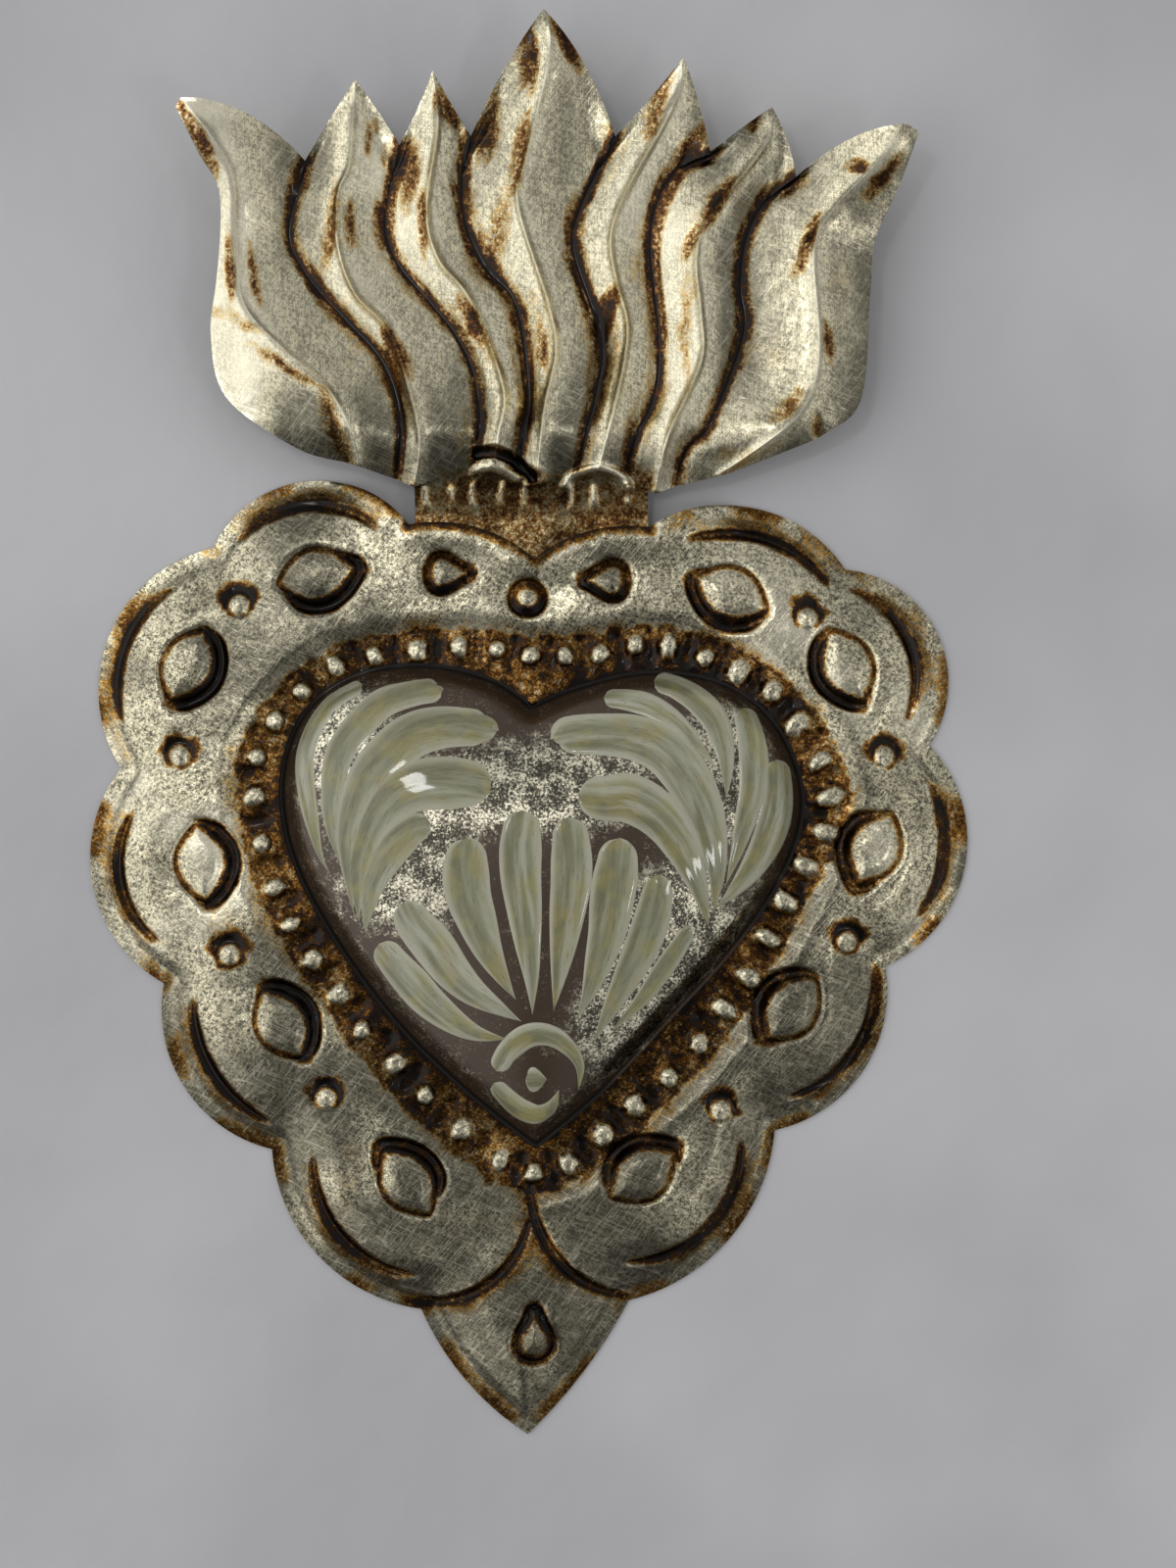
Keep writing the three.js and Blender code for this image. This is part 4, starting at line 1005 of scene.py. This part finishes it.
def soft_distance(p, outline):
    """The distance to a closed line, averaged so that it has no ridge half way between two sides."""
    total = np.zeros(len(p))
    for a, b in zip(np.roll(outline, 1, 0), outline):
        total += math.hypot(*(b - a)) / np.maximum(0.05, length_of(p - (a + b) / 2)) ** 3
    return np.sqrt(2 / total)


def dome_top(p):
    """The height of the dome's face at plan points inside its edge."""
    exact = distance_to_line(p, closed_line(dome_edge))
    inset = mix(exact, soft_distance(p, dome_edge), smoothly((exact - 1.2) / 2.5))
    wall = dome_wall_height * smoothly(inset / dome_wall_width)
    top = 1 - (1 - np.minimum(1, inset / dome_crown_reach)) ** 2
    return flange_height + sheet_thickness + wall + (dome_height - dome_wall_height) * top


def dome_glaze(p):
    """How thick the glaze is: worn thin in the bare patches and along the edge low down."""
    glaze_left = np.full(len(p), 0.82)
    for x, y, half_width, half_height in bare_patches:
        glaze_left -= 0.7 * bump(np.hypot((p[:, 0] - x) / half_width, (p[:, 1] - y) / half_height), 1.3)
    edge = distance_to_line(p, closed_line(dome_edge))
    worn = 0.15 * bump(edge - 1.7, 1.4) * smoothly((12 - p[:, 1]) / 10)
    return np.clip(glaze_left, 0, 0.95) - worn + 0.4 * bump(edge, 0.6)


def domed_heart():
    rays, rings, wall_rings = len(dome_edge), 44, 12
    lines = [offset_line(dome_edge, -flange_width), offset_line(dome_edge, -0.1), dome_edge]
    flange_points = len(lines) * rays
    inward = np.array(dome_middle) - dome_edge
    reach = length_of(inward)[:, None]
    for ring in range(1, rings):
        in_wall = np.minimum(1, ring / wall_rings) * dome_wall_width
        share = max(0, (ring - wall_rings) / (rings - wall_rings))
        lines.append(dome_edge + inward / reach * (in_wall + (reach - in_wall) * share))
    plan = np.vstack([*lines, [dome_middle]])
    height = np.full(len(plan), flange_height + sheet_thickness)
    height[flange_points:] = dome_top(plan[flange_points:])
    last = (len(lines) - 1) * rays
    faces = grid(len(lines), rays, ring=True)
    faces += [(len(plan) - 1, last + i, last + (i + 1) % rays) for i in range(rays)]
    back = {"patina": 0.3}
    piece = sheet("heart_dome_sheet", plan, height, faces, glaze, {"patina": dome_glaze(plan)}, back)
    dress(piece, "painted_tin", "heart_dome")


def brush_stroke(order, path, width, belly, white, ragged):
    """A comma stroke: a rounded or ragged loaded end, a belly and a pointed tail, laid on the dome."""
    line = catmull_rom(path, 16)
    total = length_of(np.diff(line, axis=0)).sum()
    rows, columns = max(16, round(total / 0.3)), 15
    line = evenly(line, rows)
    t = np.linspace(0, 1, rows)
    head = min(0.3, 0.42 * width / total)
    rounded = np.sqrt(1 - (1 - np.clip(t / head, 0, 1)) ** 2)
    grown = mix(0.8, 1.0, smoothly(t / belly))
    tail = 1 - np.clip((t - belly) / (1 - belly), 0, 1) ** 1.7
    half = np.maximum(0.04, 0.55 * width * rounded * grown * tail)
    direction = np.gradient(line, axis=0)
    direction /= length_of(direction)[:, None]
    left = np.column_stack([-direction[:, 1], direction[:, 0]])
    across = np.linspace(-1, 1, columns)
    bristles = 0.5 * np.sin(across * 9 + order * 2.1) + 0.5 * np.sin(across * 23 + order)
    p = line[:, None] + left[:, None] * (half[:, None, None] * across[None, :, None])
    tear = ragged * (0.5 + 0.5 * bristles) * (1 - smoothly(t / 0.25))[:, None]
    p = (p + direction[:, None] * tear[:, :, None]).reshape(-1, 2)
    crown = (1 - np.abs(across[None, :]) ** 6) * np.minimum(1, half / 0.5)[:, None]
    film = stroke_thickness * crown * (1 + 0.3 * bristles) + order * stroke_step
    film = np.where(crown > 0.02, film, -0.02).ravel()
    side = np.tile(across, rows)
    values = {
        "along": np.repeat(t * total, columns),
        "across": side * np.repeat(half, columns),
        "side": side,
        "white": white,
        "order": order * 3.7,
        "rim": smoothly((np.abs(side) - 0.6) / 0.3),
    }
    faces = [face[::-1] for face in grid(rows, columns)]
    return p, dome_top(p) + film, faces, values, film + stroke_root


def brush_strokes():
    for order, (name, stroke) in enumerate(strokes.items()):
        p, height, faces, values, thickness = brush_stroke(order, *stroke)
        piece = sheet(f"stroke_{name}", p, height, faces, paint, values, values, thickness)
        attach(piece, "root")


# Crown of flames

far_off = 9.0  # stands for the distance to a valley where there is none
crease_lines = [evenly(catmull_rom(crease, 24), 400) for crease in creases]
crease_levels = [
    -hem_depth if i in (0, len(creases) - 1) else ridge_height if i % 2 else -crease_depth
    for i in range(len(creases))
]


def flame_base(p):
    """The crown's height without its relief: the rise out of the neck and the curl of the tips."""
    x, y = p.T
    rise = smoothly((y - flame_rise_start) / flame_rise_length)
    outward = smoothly((np.abs(x - crown_middle) - outer_curl_start[0]) / outer_curl_reach[0])
    outer_tip = outward * smoothly((y - outer_curl_start[1]) / outer_curl_reach[1])
    middle_tip = smoothly((y - middle_curl_start) / middle_curl_reach)
    curl = outer_tip_curl * outer_tip + middle_tip_curl * middle_tip
    return mix(tongue_height, flame_height, rise) + curl


def strip_relief(p, t, low, high, bottom, top):
    """A column of points between a low crease and a high one: height, patina and how rubbed each is."""
    to_low, to_high = distance_to_line(p, low[::4]), distance_to_line(p, high[::4])
    climbed = to_low / (to_low + to_high + 1e-6)
    is_valley = bottom == -crease_depth
    to_valley = to_low if is_valley else np.full(len(p), far_off)
    relief = mix(bottom + furrow_depth * is_valley, top - 0.1, climbed ** 1.35)
    ends = smoothly(t / 0.02) * smoothly((1.04 - t) / 0.08)
    relief -= furrow_depth * bump(to_valley, furrow_reach) * ends
    relief += ridge_line_rise * bump(to_high, ridge_line_reach) - 0.08 * bump(to_high - 0.75, 0.36)
    at_neck = smoothly((t - 1 + neck_fade) / neck_fade)
    relief *= smoothly(t / tip_fade) * mix(1, neck_relief, at_neck)

    spread = (1.15 - 0.3 * smoothly(t / 0.7)) * (1 + 0.5 * mottle(p, 4, 2)) + 0.2 * mottle(p, 1.2)
    stain = 0.45 * smoothly((spread - to_valley) / 0.5) + 0.45 * bump(to_valley, 0.45)
    central = 1 - smoothly((np.abs(p[:, 0] - crown_middle) - 8) / 6)
    wide = smoothly(0.5 + mottle(p, 5, 2)) * bump(to_valley, 2.2 + 0.5 * central)
    stain += (0.24 + 0.16 * central) * wide
    stain *= (1 - 0.9 * bump(to_high, 0.7)) * (1 - 0.5 * smoothly((t - 0.9) / 0.1))
    rubbed = np.maximum(bump(to_high, 0.42), 0.5 * bump(to_high, 2.4)) * smoothly(t / 0.05)
    return flame_base(p) + relief, stain, rubbed


def crown_strips(shares, rows):
    """Rows of points over the flames, from the cut edge down, with their height, patina and rub."""
    t = np.linspace(0, 1, rows)
    columns = []
    for strip, (left, right) in enumerate(zip(crease_lines, crease_lines[1:])):
        a, b = evenly(left, rows), evenly(right, rows)
        bow = np.array(flame_edges[strip]) - (a[0] + b[0]) / 2
        levels = crease_levels[strip:strip + 2]
        low, high = (left, right) if levels[0] < levels[1] else (right, left)
        is_last = strip == len(creases) - 2
        for share in shares if is_last else shares[:-1]:
            p = mix(a, b, share) + bow * (4 * share * (1 - share) * (1 - t) ** 4)[:, None]
            columns.append((p, *strip_relief(p, t, low, high, *sorted(levels))))
    return [np.stack(values, axis=1) for values in zip(*columns)]


def neck_points(upper, upper_height):
    """Rows of points from the flames' lower end down the neck and behind the plate, their height, and how
    much of the crown's details they show."""
    x = np.linspace(neck_ends[0][0], neck_ends[1][0], len(upper))
    edge = np.interp(x, *edge_over_neck[::-1].T)
    heights_up = (np.full(len(x), neck_top), edge + seam_gap, edge - lap_depth)
    levels = [upper, *(np.column_stack([x, y]) for y in heights_up)]
    neck = np.vstack([
        mix(above, below, share)
        for above, below, steps in zip(levels, levels[1:], neck_steps)
        for share in np.linspace(0, 1, steps + 1)[1:]
    ])
    rows = sum(neck_steps)
    from_edge = neck[:, 1] - np.tile(edge, rows) - seam_gap
    flat = smoothly(1 - from_edge / neck_slope_reach)
    joined = np.repeat(smoothly(np.arange(1, rows + 1) / neck_steps[0]), len(x))
    height = mix(flame_base(neck), tongue_height, flat)
    height += np.tile(upper_height - flame_base(upper), rows) * (1 - joined)
    return neck, height, 1 - flat


def press_marks(p, height, patina, cloud):
    """Shallow dark hollows beside the ridges."""
    strayed = p + 0.5 * np.column_stack([mottle(p, 2.5, 2), mottle(p, 3)])
    for x, y, turn, length, width, dark in ridge_marks:
        u, v = (turned(strayed - [x, y], -turn) / [0.95 * length, 0.6 * width]).T
        inside = np.maximum(0, 1 - u * u - v * v)
        height -= mark_depth * dark * inside ** 2
        patina += dark * (0.60 + 0.45 * cloud + 0.35 * smoothly((p[:, 1] - 72) / 6)) * inside ** 0.9


def press_neck(p, height, patina):
    """The neck's ribs, arches and slot. Returns the raised parts, 1 on their tops."""
    x, y = p[:, 0] - neck_middle[0], p[:, 1]
    from_rib_ends = np.minimum(y - neck_rib_span[0], neck_rib_span[1] - y)
    in_ribs = smoothly((from_rib_ends + 0.5 * mottle(p, 3)) / 0.8)
    across_neck = 1 - smoothly((np.abs(x) - neck_width / 2) / 1.5)
    low = smoothly((46 - y) / 2) * across_neck
    below_ribs = smoothly((41.2 - y) / 1.2)
    patina += (0.24 + 0.25 * mottle(p, 2.2) * (1 - 0.7 * below_ribs) + 0.16 * below_ribs) * low
    raised = np.zeros(len(p))
    for share in neck_rib_shares:
        rib = bump(x - share * neck_width + 0.35 * mottle(p, 3), neck_rib_width / 2) * in_ribs
        height += neck_rib_rise * rib
        raised = np.maximum(raised, rib)
    for arch in neck_arches:
        ridge = bump(distance_to_line(p, catmull_rom(arch, 16)), neck_arch_width / 2)
        height += neck_arch_rise * ridge
        raised = np.maximum(raised, ridge)
    from_slot = distance_to_line(p, catmull_rom(neck_slot, 16)) + 0.25 * mottle(p, 1.3)
    height += neck_slot_lip * bump(from_slot - 0.9, 0.6) - neck_slot_depth * bump(from_slot, 0.75)
    patina += 0.85 * bump(from_slot, 0.85) + 0.15 * in_ribs * across_neck * (1 - raised)
    patina *= 1 - 0.85 * raised
    return raised


def crown_details(p):
    """What is pressed into the crown besides its creases: the height it adds, its patina, and its polish
    with painted light and shade in it.
    """
    x, y = p.T
    height = -crown_dent_depth * (1 + ripples(p, 15)) * smoothly((y - 44) / 8)
    cloud = mottle(p, 4, 2.4)
    patina = 0.05 + 0.08 * cloud
    press_marks(p, height, patina, cloud)
    raised = press_neck(p, height, patina)
    # Painted light and shade in the polish, over random unevenness: painted shade low on the flames above
    # the neck and at the right, a painted highlight at the far left.
    polish_and_painted_light = 0.8 * mottle(p, 8, 2) - 0.15 - 0.65 * smoothly((66 - y) / 22) * smoothly((y - 42) / 3)
    polish_and_painted_light += 0.9 * smoothly((-27 - x) / 6) - 0.35 * smoothly((x - 16) / 8)
    return height, patina, mix(polish_and_painted_light, 0.5, raised)


def flame_crown():
    rows, steps = 230, 12
    even = np.linspace(0, 1, steps + 1)
    closer_at_creases = even - 0.0975 * np.sin(2 * math.pi * even)
    p, height, patina, rubbed = crown_strips(closer_at_creases, rows)
    columns = p.shape[1]
    first, last = (crease * steps for crease in neck_creases)
    neck, neck_height, neck_share = neck_points(p[-1, first:last + 1], height[-1, first:last + 1])
    start, count = rows * columns, last + 1 - first
    above = start - columns + first
    faces = grid(rows, columns)
    faces += [(above + i, start + i, start + i + 1, above + i + 1) for i in range(count - 1)]
    faces += grid(len(neck) // count, count, start=start)

    points = np.vstack([p.reshape(-1, 2), neck])
    details, stain, polish_and_painted_light = crown_details(points)
    tip_share = np.repeat(smoothly(np.linspace(0, 1, rows) / tip_fade), columns)
    height = np.concatenate([height.ravel(), neck_height])
    height += details * np.concatenate([tip_share, neck_share]) + sheet_thickness
    stain[:start] += patina.ravel()
    polish_and_painted_light[:start] = mix(polish_and_painted_light[:start], 0.9, rubbed.ravel())
    values = {"patina": np.clip(stain, 0, 1.3), "polish_and_painted_light": polish_and_painted_light}
    dress(sheet("flame_sheet", points, height, faces, flame_tin, values), "tin", "flame_crown")


# Hanger and solder

def finish_cad_nodes():
    for name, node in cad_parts.items():
        finish = flame_tin if name.startswith("hanger_strap") else solder if "solder" in name else None
        if finish:
            node.data.materials.clear()
            node.data.materials.append(finish)


# Stage, in metres and watts

# The sky's bright sides: the direction, how far another one may point from it (as cosines, where the
# glow starts and where it is full) and how bright it is
sky_glows = [
    [(-0.78, -0.05, 0.62), 0.58, 0.97, 1.2],
    [(-0.10, 0.80, 0.60), 0.55, 0.97, 0.45],
    [(0.80, -0.10, 0.60), 0.60, 0.97, 0.52],
]
sky_level = 0.15
lamps = {"key_lamp": [(-0.08, 0.08, 0.42), 0.10], "fill_lamp": [(0.22, -0.12, 0.42), 0.08]}
lamp_size = [0.05, 0.03]
floor_reach = 3.0

# What the camera sees, in millimetres: the pattern's point in the middle, and the height of the picture
view_middle = [6.70, 9.09]
view_height = 181.8
view_distance = 350.0


def floor():
    mesh = bpy.data.meshes.new("floor")
    corners = [(x * floor_reach, y * floor_reach, 0) for x, y in ((-1, -1), (1, -1), (1, 1), (-1, 1))]
    mesh.from_pydata(corners, [], [(0, 1, 2, 3)])
    s = Shader("paper")
    painted_light_clouds, creases = s.noise(70.0, 3.0), s.noise(9.0, 3.0)
    s.set(
        # Broad clouds of painted light and shade on the paper.
        Base_Color=s.blend(s.range(painted_light_clouds, 0.35, 0.65), (0.460, 0.460, 0.480), (0.545, 0.545, 0.560)),
        Roughness=0.45,
        Normal=s.bumped(creases, 0.35),
    )
    mesh.materials.append(s.material)
    placed("floor", mesh)


def studio():
    """A soft sky, brightest at the left and dimmer above and at the right, and two small lamps."""
    world = bpy.data.worlds.new("studio")
    bpy.context.scene.world = world
    sky = Nodes(world, "Background")
    light = sky_level
    for axis, start, full, strength in sky_glows:
        inputs = {0: sky.coordinates["Generated"], 1: Vector(axis).normalized()}
        facing = sky.node("ShaderNodeVectorMath", inputs, operation="DOT_PRODUCT").outputs["Value"]
        light = sky.plus(light, sky.range(facing, start, full, 0.0, strength))
    sky.set(Strength=light, Color=(1, 1, 1, 1))
    for name, (place, power) in lamps.items():
        lamp = bpy.data.lights.new(name, "AREA")
        lamp.shape = "RECTANGLE"
        lamp.size, lamp.size_y = lamp_size
        lamp.energy = power
        piece = placed(name, lamp, place)
        piece.rotation_euler = (-Vector(place)).to_track_quat("-Z", "Y").to_euler()


def camera():
    data = bpy.data.cameras.new("camera")
    data.sensor_fit = "VERTICAL"
    data.sensor_height = 24
    data.lens = data.sensor_height * view_distance / view_height
    data.clip_start = 0.01
    x, y = (view_middle + pattern_shift[:2]) * MM
    bpy.context.scene.camera = placed("camera", data, (x, y, view_distance * MM))


camera()
heart_plate()
domed_heart()
brush_strokes()
flame_crown()
finish_cad_nodes()
floor()
studio()
bpy.context.scene.view_settings.view_transform = "Standard"
